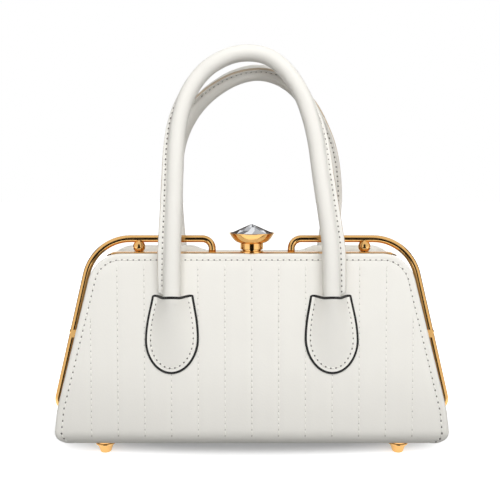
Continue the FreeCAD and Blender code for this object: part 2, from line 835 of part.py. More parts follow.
def make_crystal(rim):
    """Pointed stone with two rows of crown facets over a tapered back."""
    girdle = bowl_diameter / 2 - bowl_wall - crystal_seat_gap
    crown = ring_of_points(girdle * crystal_crown_share, rim + crystal_rise * crystal_crown_rise_share, 0.5)
    upper = ring_of_points(girdle, rim + crystal_seat_gap, 0)
    lower = ring_of_points(girdle, rim + crystal_seat_gap - crystal_girdle, 0)
    back_rise = rim - bowl_height + bowl_wall + crystal_seat_gap
    back = ring_of_points(girdle * crystal_point_share, back_rise, 0)
    point = knob_place(rim + crystal_rise)
    facets = [back]
    for i in range(crystal_sides):
        j = (i + 1) % crystal_sides
        facets.append([point, crown[i], crown[j]])
        facets.append([crown[i], upper[j], crown[j]])
        facets.append([upper[i], upper[j], crown[i]])
        facets.append([upper[i], lower[i], lower[j], upper[j]])
        facets.append([lower[i], back[i], back[j], lower[j]])
    faces = [Part.Face(Part.makePolygon(corners + corners[:1])) for corners in facets]
    return Part.makeSolid(Part.makeShell(faces))


def make_catch():
    """Bent strip on the rear jaw whose lip sits in the groove under the knob's collar."""
    lip_low = jaw_top + flange_height + catch_under
    neck_back = knob_place(0).y + neck_diameter / 2
    riser = jaw_back_y + catch_riser_place
    foot_end = riser + catch_foot
    left = -catch_width / 2
    outline = [
        (foot_end, cover_top), (foot_end, cover_top + catch_thickness),
        (riser + catch_thickness, cover_top + catch_thickness),
        (riser + catch_thickness, lip_low + catch_thickness),
        (neck_back - neck_diameter / 2, lip_low + catch_thickness), (neck_back - neck_diameter / 2, lip_low),
        (riser, lip_low), (riser, cover_top),
    ]
    strip = prism([Vec(left, y, z) for y, z in outline], [0] * 8, X * catch_width)
    return strip.cut(disc(knob_place(-overrun), neck_diameter + 2 * catch_reach_gap, 2 * overrun))


def catch_rivet_places():
    y = jaw_back_y + catch_riser_place + catch_foot / 2
    for x in (-catch_rivet_pitch / 2, catch_rivet_pitch / 2):
        yield Vec(x, y, cover_top + catch_thickness)


def make_rear_jaw():
    """Flat plate under the leather top of the rear half, with its flange, cover, catch and rivets."""
    board_face = top_depth / 2 - wall / cos(panel_lean) - jaw_seat_gap
    back = board_face + (body_top - rear_jaw_top) * panel_slope
    cover_back = board_face + (body_top - cover_top) * panel_slope
    half = rear_jaw_length / 2
    plate_front = cover_front_y + cover_set_back
    low = rear_jaw_top - jaw_plate
    corners = [Vec(-half, plate_front, low), Vec(half, plate_front, low)]
    corners += [Vec(half, back, low), Vec(-half, back, low)]
    plate = prism(corners, [cover_round, cover_round, 0, 0], Z * jaw_plate)
    jaw = plate.fuse(mirror_y(jaw_flange(rear_jaw_top)))
    wide = half + cover_set_back
    corners = [Vec(-wide, cover_front_y, rear_jaw_top), Vec(wide, cover_front_y, rear_jaw_top)]
    corners += [Vec(wide, cover_back, rear_jaw_top), Vec(-wide, cover_back, rear_jaw_top)]
    cover = prism(corners, [cover_round, cover_round, 0, 0], Z * cover_thickness)
    catch = make_catch()
    rivets = []
    grip = catch_thickness + cover_thickness + jaw_plate
    for place in catch_rivet_places():
        hole = disc(place - Z * grip, rivet_hole(), grip)
        jaw = jaw.cut(hole)
        cover = cover.cut(hole)
        catch = catch.cut(hole)
        rivets.append(rivet(place, grip))
    return jaw, cover, catch, Part.makeCompound(rivets)


# Tabs and handles

def handle_pivot(x):
    """Middle of a handle's rounded end, in front of the top of its tab."""
    return on_front(x, up_at(tab_top_height), handle_radius + handle_gap + handle_seat)


def handle_direction(lean):
    """Direction up a handle that leans back from the upright by some degrees."""
    return Vec(0, sin(radians(lean)), cos(radians(lean)))


def tab_arc(x, *places):
    """Arc on the panel through three places given from the tab's middle line."""
    return Part.Arc(*[on_front(x + across, up, 0) for across, up in places]).toShape()


def tab_curve(x, *places):
    """Smooth quarter of a tab's rounded foot, given by its poles."""
    curve = Part.BezierCurve()
    curve.setPoles([on_front(x + across, up, 0) for across, up in places])
    return curve.toShape()


def make_tab(x):
    """Leather tab on the front panel with a swelling over the handle's end."""
    top = up_at(tab_top_height)
    widest = top - tab_upper_height
    half = tab_width / 2
    half_top = tab_top_width / 2
    narrowing = half - half_top
    side_radius = (tab_upper_height ** 2 + narrowing ** 2) / (2 * narrowing)
    mid_up = tab_upper_height / 2
    mid_x = half - (side_radius - sqrt(side_radius ** 2 - mid_up ** 2))
    low = top - tab_height
    ease = (tab_height - tab_upper_height) * round_share
    sweep = half * round_share
    outwards = (on_front(0, 0, 1) - on_front(0, 0, 0)).normalize()
    edges = [
        tab_arc(x, (half, widest), (mid_x, widest + mid_up), (half_top, top)),
        tab_arc(x, (half_top, top), (0, top - tab_dip), (-half_top, top)),
        tab_arc(x, (-half_top, top), (-mid_x, widest + mid_up), (-half, widest)),
        tab_curve(x, (-half, widest), (-half, widest - ease), (-sweep, low), (0, low)),
        tab_curve(x, (0, low), (sweep, low), (half, widest - ease), (half, widest)),
    ]
    plate = Part.Face(Part.Wire(edges)).extrude(outwards * tab_thickness)
    pivot = handle_pivot(x)
    foot = on_front(x, top - tab_ridge_length, -tab_ridge_sink)
    axis = foot - pivot
    ridge = Part.makeCone(tab_ridge_top, tab_ridge_foot, axis.Length, pivot, axis.normalize())
    behind = front_slab(
        [(x - tab_width, top - 2 * tab_height), (x + tab_width, top - 2 * tab_height),
         (x + tab_width, top + tab_height), (x - tab_width, top + tab_height)],
        [0] * 4, tab_thickness / 2, -4 * tab_ridge_top,
    )
    ridge_end = top - tab_dip - tab_ridge_back
    above = front_slab(
        [(x - tab_width, ridge_end), (x + tab_width, ridge_end),
         (x + tab_width, top + tab_height), (x - tab_width, top + tab_height)],
        [0] * 4, 0, 4 * tab_ridge_top,
    )
    tab = plate.fuse(ridge.cut(behind).cut(above))
    return tab.cut(swing_room(pivot))


def swing_room(pivot):
    """Channel that a handle's end needs from rest to fully tipped."""
    clear = handle_radius + handle_gap
    start = pivot - X * clear
    rest = handle_direction(handle_lean)
    middle = handle_direction(handle_lean - handle_swing / 2)
    tipped = handle_direction(handle_lean - handle_swing)
    back = start + rest.cross(X) * clear
    front = start - tipped.cross(X) * clear
    edges = [
        Part.Arc(back, start - middle * clear, front).toShape(),
        Part.LineSegment(front, front + tipped * tab_height).toShape(),
        Part.LineSegment(front + tipped * tab_height, back + rest * tab_height).toShape(),
        Part.LineSegment(back + rest * tab_height, back).toShape(),
    ]
    return Part.Face(Part.Wire(edges)).extrude(X * 2 * clear)


def handle_path(top, left_lean, right_lean):
    """Left leg, arch and right leg of a loop that leaves its tabs with the given leans."""
    up = handle_direction(handle_lean)
    start = handle_pivot(0)
    apex = (top - handle_radius - start.z) / cos(radians(handle_lean))
    lean_l = radians(left_lean)
    lean_r = radians(right_lean)
    # The arch touches both legs and reaches the apex, which gives its radius and its middle.
    reach_l = (tab_place * cos(lean_l) - apex * sin(lean_l)) / cos(lean_l)
    reach_r = (tab_place * cos(lean_r) - apex * sin(lean_r)) / cos(lean_r)
    grow_l = (1 - sin(lean_l)) / cos(lean_l)
    grow_r = (1 - sin(lean_r)) / cos(lean_r)
    radius = (reach_l + reach_r) / (grow_l + grow_r)
    middle = grow_l * radius - reach_l
    centre = start + X * middle + up * (apex - radius)

    def on_arch(turn):
        return centre + X * (radius * sin(turn)) + up * (radius * cos(turn))

    left_end = on_arch(-radians(90) + lean_l)
    right_end = on_arch(radians(90) - lean_r)
    left_foot = start - X * tab_place
    right_foot = start + X * tab_place
    return Part.Wire([
        Part.LineSegment(left_foot, left_end).toShape(),
        Part.Arc(left_end, on_arch(0), right_end).toShape(),
        Part.LineSegment(right_end, right_foot).toShape(),
    ])


def leg_ends(leg):
    """Lower and upper end of a leg's centre line."""
    return sorted([vertex.Point for vertex in leg.Vertexes], key=lambda point: point.z)


def loop_bars(path, radius):
    """Round bars along the left leg, the arch and the right leg of a loop."""
    left_leg, arch, right_leg = path.Edges
    low, high = leg_ends(left_leg)
    section = Part.Face(Part.Wire(Part.makeCircle(radius, high, high - low)))
    bend = section.revolve(arch.Curve.Center, arch.Curve.Axis, degrees(arch.Length / arch.Curve.Radius))
    bars = [disc(low, 2 * radius, left_leg.Length, high - low), bend]
    low, high = leg_ends(right_leg)
    return bars + [disc(low, 2 * radius, right_leg.Length, high - low)]


def leg_foot(leg):
    """Half ball that closes the lower end of a leg."""
    low, high = leg_ends(leg)
    return Part.makeSphere(handle_radius, low, (high - low).normalize(), -90, 0, 360)


def leg_fin(leg, side):
    """Sewn seam on the outside of a leg, which runs out where the arch begins."""
    low, high = leg_ends(leg)
    along = (high - low).normalize()
    through = along.cross(X).normalize() * fin_thickness
    outwards = along.cross(through).normalize()
    outwards = outwards * (side * outwards.x / abs(outwards.x))
    root = outwards * (handle_radius - handle_wall / 2)
    reach = outwards * (handle_radius + fin_width)
    start = low + along * fin_start - through * 0.5
    end = high - through * 0.5
    points = [start + root, start + reach, end - along * fin_fade + reach, end + root]
    return prism(points, [0] * 4, through)


def make_handle(top, left_lean, right_lean):
    """Rolled leather loop with a sewn seam on its outside, and the cord inside it."""
    path = handle_path(top, left_lean, right_lean)
    inner = handle_radius - handle_wall
    bores = loop_bars(path, inner)
    tubes = [bar.cut(bore) for bar, bore in zip(loop_bars(path, handle_radius), bores)]
    cord = loop_bars(path, inner - core_fit)
    left_leg, arch, right_leg = path.Edges
    feet = [leg_foot(left_leg), leg_foot(right_leg)]
    fins = [leg_fin(left_leg, -1), leg_fin(right_leg, 1)]
    return tubes[0].fuse(tubes[1:] + feet + fins), cord[0].fuse(cord[1:])


# Build and write every piece

os.makedirs("parts", exist_ok=True)

make_base()

right_bracket, right_bracket_rivets = make_bracket()
export(right_bracket, "hinge_bracket_right")
export(mirror_x(right_bracket), "hinge_bracket_left")
export(Part.makeCompound([right_bracket_rivets, mirror_x(right_bracket_rivets)]), "bracket_rivets")

right_gusset = make_gusset()
export(right_gusset, "gusset_right")
export(mirror_x(right_gusset), "gusset_left")

fold = crease_fold()
export(fold, "front_fold")
export(mirror_y(fold), "rear_fold")

leather, stiffener, cloth = panel_layers()
(front_jaw, front_board), front_rivets = rivet_rows([make_front_jaw(), stiffener], True)
export(leather, "front_panel")
export(front_board, "front_board")
export(cloth, "front_lining")
export(front_jaw, "front_jaw")
export(front_rivets, "front_jaw_rivets")

rear_jaw, rear_cover, catch, catch_rivets = make_rear_jaw()
rear_stiffener = stiffener.cut(thumb_hollow(board_drop()))
(rear_jaw, rear_board), rear_rivets = rivet_rows([mirror_y(rear_jaw), rear_stiffener], False)
export(mirror_y(leather.cut(thumb_hollow(0))), "rear_panel")
export(rear_board, "rear_board")
export(mirror_y(cloth.cut(strap_room())), "rear_lining")
export(rear_jaw, "rear_jaw")
export(rear_cover, "rear_top_cover")
export(rear_rivets, "rear_jaw_rivets")
export(catch, "kiss_catch")
export(catch_rivets, "catch_rivets")

half_pocket = pocket_width / 2
pocket_high = pocket_low + pocket_height
pocket_outline = [(-half_pocket, pocket_low), (half_pocket, pocket_low)]
pocket_outline += [(half_pocket, pocket_high), (-half_pocket, pocket_high)]
pocket_back = -wall - lining
pocket = front_slab(
    pocket_outline, [pocket_round, pocket_round, 0, 0], pocket_back, pocket_back - pocket_thickness
)
export(mirror_y(pocket), "slip_pocket")

right_strap = mirror_y(make_rear_strap())
export(right_strap, "rear_hinge_right")
export(mirror_x(right_strap), "rear_hinge_left")

for name, piece in (("bow", make_bow()), ("ball_post", make_ball_post()), ("side_post", make_side_post())):
    export(piece, name + "_right")
    export(mirror_x(piece), name + "_left")

make_knob()

for side, x in (("left", -tab_place), ("right", tab_place)):
    tab = make_tab(x)
    export(tab, "front_tab_" + side)
    export(mirror_y(tab), "rear_tab_" + side)

front_cover, front_core = make_handle(front_handle_top, front_handle_left_lean, front_handle_right_lean)
export(front_cover, "front_handle")
export(front_core, "front_handle_core")
rear_loop, rear_core = make_handle(rear_handle_top, rear_handle_left_lean, rear_handle_right_lean)
export(mirror_y(rear_loop), "rear_handle")
export(mirror_y(rear_core), "rear_handle_core")
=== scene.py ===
"""Dresses the frame purse: quilted ivory leather, gilt frame, rolled handles and stitching."""

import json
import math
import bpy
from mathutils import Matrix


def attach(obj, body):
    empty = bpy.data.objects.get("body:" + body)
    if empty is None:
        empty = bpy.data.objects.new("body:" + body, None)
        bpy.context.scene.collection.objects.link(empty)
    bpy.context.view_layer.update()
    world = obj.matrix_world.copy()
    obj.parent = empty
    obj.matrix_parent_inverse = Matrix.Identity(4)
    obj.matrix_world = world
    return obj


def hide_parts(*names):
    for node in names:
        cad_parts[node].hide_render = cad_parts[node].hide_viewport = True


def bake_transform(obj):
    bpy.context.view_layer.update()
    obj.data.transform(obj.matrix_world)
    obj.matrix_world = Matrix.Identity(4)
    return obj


bl_info = {
    "name": "Frame Purse",
    "version": (1, 0, 0),
    "blender": (4, 5, 0),
    "location": "View3D > Sidebar > Purse",
    "description": "Builds the leather, metal and stitching of a frame purse round its CAD frame",
    "category": "Object",
}

import bmesh
import bpy
import numpy as np
from mathutils import Vector

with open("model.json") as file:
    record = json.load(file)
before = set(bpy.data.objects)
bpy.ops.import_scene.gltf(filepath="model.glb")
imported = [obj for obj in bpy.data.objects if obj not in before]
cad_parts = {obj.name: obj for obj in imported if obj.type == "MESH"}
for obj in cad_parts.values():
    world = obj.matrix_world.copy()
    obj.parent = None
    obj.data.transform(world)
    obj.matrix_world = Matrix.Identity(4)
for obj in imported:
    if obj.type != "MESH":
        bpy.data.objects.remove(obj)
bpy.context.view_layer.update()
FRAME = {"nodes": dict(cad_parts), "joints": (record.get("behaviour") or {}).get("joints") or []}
MM = 0.001
SIGN = {"front": -1.0, "rear": 1.0}
ENDS = {"left": -1.0, "right": 1.0}

# Sizes of the purse, in mm
BODY_TOP = 130.0
BODY_FLOOR = 7.0
TOP_HALF_DEPTH = 25.0
CREASE_HEIGHT = 30.0        # where the halves hinge
CREASE_HALF_DEPTH = 47.5
CREASE_HALF_WIDTH = 126.7
SIDE_SLOPE = math.tan(math.radians(11.65))
BASE_SLOPE = math.tan(math.radians(3.0))
TOP_CORNER = 21.5           # larger than the frame's, as the leather's is in the photograph
LOW_CORNER = 10.0
BASE_ROLL = 9.0
LEAN = math.atan2(CREASE_HALF_DEPTH - TOP_HALF_DEPTH, BODY_TOP - CREASE_HEIGHT)
EDGE_LEAN = math.atan(SIDE_SLOPE * math.cos(LEAN))
TOP_HALF_WIDTH = CREASE_HALF_WIDTH - (BODY_TOP - CREASE_HEIGHT) * SIDE_SLOPE
FLAT_HALF_WIDTH = TOP_HALF_WIDTH - TOP_CORNER / math.tan((math.pi / 2 + EDGE_LEAN) / 2)
CORNER_DROP = TOP_CORNER * (1 - math.sin(EDGE_LEAN))
LOW_SETBACK = LOW_CORNER / math.tan((math.pi / 2 - math.atan(BASE_SLOPE)) / 2)
LOW_HALF_WIDTH = CREASE_HALF_WIDTH + (CREASE_HEIGHT - BODY_FLOOR) * BASE_SLOPE
LOW_FLAT_HALF = LOW_HALF_WIDTH - LOW_SETBACK
LOW_CORNER_TOP = BODY_FLOOR + LOW_SETBACK * math.cos(math.atan(BASE_SLOPE))
JAW_TOP = 130.3
PIN_DEPTH = 41.5            # hinge pins in front of the middle
PIVOT = {joint["name"].split("_")[0]: [c / MM for c in joint["pos_m"][1:]]
         for joint in FRAME["joints"] if joint["name"].endswith("handle_tip")}
HANDLE_LEAN = math.radians(9.5)
# Centre lines of the handles: x, and height above the tip axis in the handle's own plane.
LOOPS = {
    "front": ((-52.7, 0), (-52.7, 30), (-52.1, 55), (-51.6, 80), (-50.9, 100), (-48.6, 119),
              (-42.8, 137), (-31.5, 152.5), (-16.5, 161.8), (-2, 164.4), (12, 161.3), (24, 151.3),
              (33.5, 136.5), (39.6, 119.5), (43.4, 102), (46.4, 78), (49.6, 54), (52.3, 30), (52.7, 0)),
    "rear": ((-52.7, 0), (-54.6, 18), (-56.3, 36), (-57.4, 56), (-57.3, 78), (-55.9, 95), (-52, 110),
             (-45.3, 123.5), (-36, 135.2), (-24, 144.9), (-10.5, 151.9), (4, 154.8), (18.5, 151.9),
             (31.5, 143.8), (41.8, 131), (49.5, 114.5), (54.6, 99), (57.8, 81), (58.9, 62),
             (57.6, 40), (54.8, 18), (52.7, 0)),
}
# Turn of each handle's seam from its outside, in degrees, at distances from the tabs.
SEAM_TURNS = {"front": ((0, 28, 80, 112, 135, 165, 188), (-16, 2, 4, -18, -42, -48, -70)),
              "rear": ((0, 60, 100, 140, 185), (-16, -8, -25, -60, -75))}


# Settings
def colour_setting(name, text, default):
    return bpy.props.FloatVectorProperty(
        name=name, description=text, subtype="COLOR", size=3, min=0, max=1, default=default)


def size_setting(name, text, default, low, high, **kind):
    return bpy.props.FloatProperty(
        name=name, description=text, default=default, min=low, max=high, **kind)


class PurseLeather(bpy.types.PropertyGroup):
    colour: colour_setting("Leather", "Colour of the leather", (0.85, 0.832, 0.78))
    proud: size_setting("Proud", "Leather stands this far out of the frame's walls, in mm", 0.45, 0.2, 1)
    puff: size_setting("Puff", "Swelling between the stitched lines, in mm", 0.3, 0, 1)
    line_pitch: size_setting(
        "Line pitch", "Distance between the upright stitched lines, in mm", 17.75, 5, 40)
    line_sides: bpy.props.IntProperty(
        name="Lines to a side", description="Upright stitched lines on each side of the middle",
        default=6, min=1, max=12)
    line_spread: size_setting(
        "Line spread", "Share by which the lines stand further apart at the top", 0.055, 0, 0.2,
        subtype="FACTOR")
    rear_dip: size_setting("Rear dip", "Hollow in the rear top edge behind the knob, in mm", 3.6, 0, 6)
    rear_lift: size_setting("Rear lift", "Rear top edge stands up beside that hollow, in mm", 1.1, 0, 3)


class PurseStitch(bpy.types.PropertyGroup):
    pitch: size_setting("Pitch", "Length of one stitch, in mm", 3.9, 1, 10)
    inset: size_setting("Inset", "Row of stitches in from the leather's edge, in mm", 4.4, 1, 10)
    thread: colour_setting("Thread", "Colour of the thread", (0.86, 0.84, 0.79))
    # The hole colours are painted shade: they colour small dark discs in place of the shade inside stitch
    # holes.
    hole: colour_setting("Hole", "Shade in the holes of the edge rows", (0.17, 0.16, 0.15))
    faint_hole_shade: colour_setting(
        "Faint hole", "Shade in the holes of the upright lines", (0.54, 0.52, 0.48))


class PurseMetal(bpy.types.PropertyGroup):
    colour: colour_setting("Gilt", "Colour of the polished metal", (0.80, 0.47, 0.17))
    roughness: size_setting("Roughness", "Polish of the metal", 0.13, 0, 1, subtype="FACTOR")
    tube: size_setting("Tube", "Diameter of the bow's tube, in mm", 4.9, 2, 8)


class PurseHandle(bpy.types.PropertyGroup):
    diameter: size_setting("Diameter", "Rolled handle's diameter, in mm", 11.4, 6, 20)
    fin: size_setting("Fin", "Sewn seam stands this far out, in mm", 3.3, 0, 6)
    fin_thickness: size_setting("Fin thickness", "Two layers of leather, in mm", 2.4, 1, 4)


class PurseStage(bpy.types.PropertyGroup):
    lens: size_setting("Lens", "Focal length of the camera, in mm", 45.5, 20, 120)
    distance: size_setting(
        "Distance", "Camera from the middle of the purse", 0.450, 0.2, 3, unit="LENGTH")
    height: size_setting("Height", "Camera above the floor", 0.1759, 0, 2, unit="LENGTH")
    tilt: size_setting(
        "Tilt", "Camera looks down by this angle", math.radians(3.57), -1, 1, subtype="ANGLE")
    key: size_setting("Key light", "Power of the large lamp above the camera", 10.1, 0, 100)
    fill: size_setting("Fill light", "Power of the other lamps, each times its own share", 1.4, 0, 100)


# Node helpers
class Value:
    """A number socket that takes part in Python expressions; each step adds a Math node."""

    def __init__(self, net, socket):
        self.net = net
        self.socket = socket

    def math(self, operation, first, second):
        return self.net.add("ShaderNodeMath", {0: first, 1: second}, operation=operation)[0]

    def __add__(self, other):
        return self.math("ADD", self, other)

    def __sub__(self, other):
        return self.math("SUBTRACT", self, other)

    def __rsub__(self, other):
        return self.math("SUBTRACT", other, self)

    def __mul__(self, other):
        return self.math("MULTIPLY", self, other)

    __radd__ = __add__
    __rmul__ = __mul__


class Outputs:
    """Outputs of one node, by name or number."""

    def __init__(self, net, node):
        self.net = net
        self.node = node

    def __getitem__(self, key):
        return Value(self.net, self.node.outputs[key])


class Net:
    """A node tree under construction."""

    def __init__(self, tree):
        self.tree = tree

    def add(self, kind, sockets=None, **settings):
        node = self.tree.nodes.new(kind)
        for name, value in settings.items():
            setattr(node, name, value)
        for key, value in (sockets or {}).items():
            if isinstance(value, Value):
                self.tree.links.new(value.socket, node.inputs[key])
            else:
                node.inputs[key].default_value = value
        return Outputs(self, node)


def new_material(name):
    material = bpy.data.materials.new(name)
    material.use_nodes = True
    material.node_tree.nodes.clear()
    return material, Net(material.node_tree)


def close_material(net, sockets):
    """Principled shader with the given sockets, as the material's surface."""
    shader = net.add("ShaderNodeBsdfPrincipled", sockets)
    net.add("ShaderNodeOutputMaterial", {"Surface": shader["BSDF"]})


def opaque(colour):
    return (*colour, 1.0)


def two_tones(net, factor, colour, share):
    """Colour that a factor mixes with a darker shade of itself."""
    shade = tuple(channel * share for channel in colour)
    mix = net.add("ShaderNodeMix", {0: factor, 6: opaque(shade), 7: opaque(colour)}, data_type="RGBA")
    return mix[2]


def leather_material(name, colour):
    """Smooth full-grain leather with a fine pebble and a slight cloudiness."""
    material, net = new_material(name)
    place = net.add("ShaderNodeTexCoord")["Object"]
    cloud = net.add("ShaderNodeTexNoise", {"Vector": place, "Scale": 34.0, "Detail": 3.0})["Fac"]
    pebble = net.add("ShaderNodeTexVoronoi", {"Vector": place, "Scale": 900.0, "Smoothness": 0.6},
                     feature="SMOOTH_F1")["Distance"]
    crease = net.add("ShaderNodeTexNoise", {"Vector": place, "Scale": 260.0, "Detail": 4.0})["Fac"]
    bump = net.add("ShaderNodeBump", {
        "Strength": 0.12, "Distance": 0.0003, "Height": pebble * 0.6 + crease})
    close_material(net, {
        "Base Color": two_tones(net, cloud, colour, 0.955), "Roughness": 0.46 + 0.1 * cloud,
        "Normal": bump["Normal"], "Specular IOR Level": 0.28,
        "Coat Weight": 0.03, "Coat Roughness": 0.35})
    return material


def cloth_material(name, colour):
    """Plain woven lining."""
    material, net = new_material(name)
    place = net.add("ShaderNodeTexCoord")["Object"]
    warp, weft = [net.add("ShaderNodeTexWave", {"Vector": place, "Scale": 420.0},
                          bands_direction=way)["Fac"] for way in "XZ"]
    weave = warp * weft
    bump = net.add("ShaderNodeBump", {"Strength": 0.25, "Distance": 0.0002, "Height": weave})
    close_material(net, {
        "Base Color": two_tones(net, weave, colour, 0.8), "Roughness": 0.78, "Normal": bump["Normal"]})
    return material


def plain_material(name, colour, roughness, metallic=0.0, coat=0.0, coat_roughness=0.03):
    """One even finish: paint, thread, metal, board or stone."""
    material, net = new_material(name)
    close_material(net, {
        "Base Color": opaque(colour), "Roughness": roughness, "Metallic": metallic,
        "Coat Weight": coat, "Coat Roughness": coat_roughness})
    return material


FINISH = {}
# Metallic cut stone whose facets each take one tone, bright, grey or dark: painted reflections that stand
# in for the light inside cut glass.
STONE = {"roughness": 0.05, "metallic": 0.85, "coat": 0.6, "coat_roughness": 0.02}


def make_finishes(scene):
    stitch = scene.purse_stitch
    metal = scene.purse_metal
    FINISH.update({
        "leather": leather_material("Ivory leather", tuple(scene.purse_leather.colour)),
        "thread": plain_material("Thread", tuple(stitch.thread), 0.7),
        # Painted shade: the dark discs in the stitch holes.
        "hole": plain_material("Stitch hole painted shade", tuple(stitch.hole), 0.9),
        "faint hole": plain_material("Faint stitch hole painted shade", tuple(stitch.faint_hole_shade), 0.9),
        "edge paint": plain_material("Black edge paint", (0.004, 0.004, 0.004), 0.55),
        "cut edge": plain_material("Tan cut edge", (0.60, 0.49, 0.37), 0.6),
        "gold": plain_material("Polished gilt", tuple(metal.colour), metal.roughness, metallic=1.0),
        "steel": plain_material("Steel", (0.62, 0.62, 0.63), 0.3, metallic=1.0),
        "board": plain_material("Stiffener board", (0.55, 0.5, 0.44), 0.8),
        "lining": cloth_material("Lining cloth", (0.62, 0.55, 0.45)),
        # Painted reflections: the stone's facets take a bright, grey or dark tone of one stone finish.
        "stone": plain_material("Cut stone", (0.78, 0.80, 0.83), **STONE),
        "grey facet": plain_material("Grey facet painted reflection", (0.40, 0.41, 0.43), **STONE),
        "dark facet": plain_material("Dark facet painted reflection", (0.07, 0.07, 0.08), **STONE),
    })


# Mesh helpers
SHARP = math.radians(35.0)      # turned pieces show an edge where they bend by more
ASKEW = (0.37, 0.81, 0.45)      # lies along none of the tubes
ARC_STEP = 5.0                  # degrees between points on a bend


def new_object(name, data):
    """Object that is linked to the scene."""
    piece = bpy.data.objects.new(name, data)
    bpy.context.scene.collection.objects.link(piece)
    return piece


def mesh_piece(name, points, faces, finish, smooth=True, edge=None, edge_faces=()):
    """Mesh object from points in mm; some of its faces may have the finish of a cut edge."""
    mesh = bpy.data.meshes.new(name)
    mesh.from_pydata([tuple(float(c) * MM for c in p) for p in points], [], faces)
    mesh.materials.append(FINISH[finish])
    if edge:
        mesh.materials.append(FINISH[edge])
        for k in edge_faces:
            mesh.polygons[k].material_index = 1
    work = bmesh.new()
    work.from_mesh(mesh)
    bmesh.ops.remove_doubles(work, verts=work.verts, dist=1e-6)
    bmesh.ops.dissolve_degenerate(work, edges=work.edges, dist=1e-7)
    bmesh.ops.recalc_face_normals(work, faces=work.faces)
    work.to_mesh(mesh)
    work.free()
    if smooth:
        mesh.shade_smooth()
    return new_object(name, mesh)


def finish_piece(piece, slot, *nodes):
    """Hides the frame nodes that a piece replaces; the piece and its slot are not used."""
    if nodes:
        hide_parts(*nodes)


def grid_faces(rows, columns, start=0, closed=False, looped=False):
    """Faces of a grid; closed joins its last column to its first, looped its last row."""
    faces = []
    for i in range(rows if looped else rows - 1):
        a = start + i * columns
        b = start + (i + 1) % rows * columns
        for j in range(columns if closed else columns - 1):
            k = (j + 1) % columns
            faces.append((a + j, a + k, b + k, b + j))
    return faces


def slab(name, outer, inner, finish):
    """Closed sheet between two grids of points."""
    outer, inner = np.array(outer), np.array(inner)
    rows, columns = outer.shape[:2]
    count = rows * columns
    points = list(outer.reshape(-1, 3)) + list(inner.reshape(-1, 3))
    faces = grid_faces(rows, columns)
    faces += [tuple(reversed(face)) for face in grid_faces(rows, columns, count)]
    rim = list(range(columns))
    rim += [i * columns + columns - 1 for i in range(1, rows)]
    rim += [(rows - 1) * columns + j for j in range(columns - 2, -1, -1)]
    rim += [i * columns for i in range(rows - 2, 0, -1)]
    for a, b in zip(rim, rim[1:] + rim[:1]):
        faces.append((b, a, a + count, b + count))
    return mesh_piece(name, points, faces, finish)


def sweep(rings):
    """Points and faces of a closed skin over rings of equal count, with its ends filled."""
    rings = np.asarray(rings)
    count, around = rings.shape[:2]
    faces = grid_faces(count, around, closed=True)
    faces.append(tuple(reversed(range(around))))
    faces.append(tuple((count - 1) * around + j for j in range(around)))
    return list(rings.reshape(-1, 3)), faces


def tube_rings(path, radius, around):
    """Round rings along a path that lies near one plane."""
    path = np.asarray(path, float)
    ways = np.gradient(path, axis=0)
    ways /= np.linalg.norm(ways, axis=1)[:, None]
    side = np.cross(ways[0], ASKEW)
    turn = np.linspace(0, 2 * np.pi, around, endpoint=False)
    rings = []
    for place, way in zip(path, ways):
        side = side - way * side.dot(way)
        side /= np.linalg.norm(side)
        up = np.cross(way, side)
        rings.append(place + radius * (np.outer(np.cos(turn), side) + np.outer(np.sin(turn), up)))
    return rings


def lathe(name, profile, x, y, finish, around):
    """Turned piece on an upright axis; the profile is radius and height in mm."""
    turn = np.linspace(0, 2 * np.pi, around, endpoint=False)
    rings = [[(x + r * c, y + r * s, z) for c, s in zip(np.cos(turn), np.sin(turn))]
             for r, z in profile]
    piece = mesh_piece(name, *sweep(rings), finish)
    piece.data.set_sharp_from_angle(angle=SHARP)
    return piece


def raised(profile, height):
    """Profile whose heights are counted from a given one."""
    return [(r, height + z) for r, z in profile]


def rounded_path(corners, bends, step):
    """Dense points on a polyline in a plane whose inner corners have the given radii."""
    corners = [np.asarray(c, float) for c in corners]
    path = [corners[0]]
    for before, corner, after, radius in zip(corners, corners[1:], corners[2:], bends):
        back = (before - corner) / np.linalg.norm(before - corner)
        on = (after - corner) / np.linalg.norm(after - corner)
        half = math.acos(np.clip(back.dot(on), -1, 1)) / 2
        reach = radius / math.tan(half)
        middle = (back + on) / np.linalg.norm(back + on)
        centre = corner + middle * radius / math.sin(half)
        start = corner + back * reach - centre
        end = corner + on * reach - centre
        turn = math.acos(np.clip(start.dot(end) / radius ** 2, -1, 1))
        count = max(4, int(math.degrees(turn) / ARC_STEP))
        for t in np.arange(count + 1) / count:
            path.append(centre + (start * math.sin((1 - t) * turn) + end * math.sin(t * turn))
                        / math.sin(turn))
    path.append(corners[-1])
    dense = [path[0]]
    for a, b in zip(path, path[1:]):
        parts = max(1, int(np.linalg.norm(b - a) / step))
        dense += [a + (b - a) * k / parts for k in range(1, parts + 1)]
    return np.array(dense)


def distances(points):
    """Distance along a line of points to each of them."""
    gaps = np.linalg.norm(np.diff(points, axis=0), axis=1)
    return np.concatenate([[0], np.cumsum(gaps)])


def at_distance(distance, run, points):
    """Point on a line of points whose distances along it are known."""
    return np.array([np.interp(distance, run, column) for column in points.T])


def even_steps(points, pitch):
    """Points at an even pitch along a dense line."""
    points = np.asarray(points, float)
    run = distances(points)
    count = max(2, int(round(run[-1] / pitch)))
    stops = (np.arange(count) + 0.5) * run[-1] / count
    return [at_distance(stop, run, points) for stop in stops]


def neighbours(row, k):
    """Entries before and after one in a row, or the entry itself at the row's ends."""
    return row[max(k - 1, 0)], row[min(k + 1, len(row) - 1)]


def smooth(t):
    t = np.clip(t, 0.0, 1.0)
    return t * t * (3 - 2 * t)


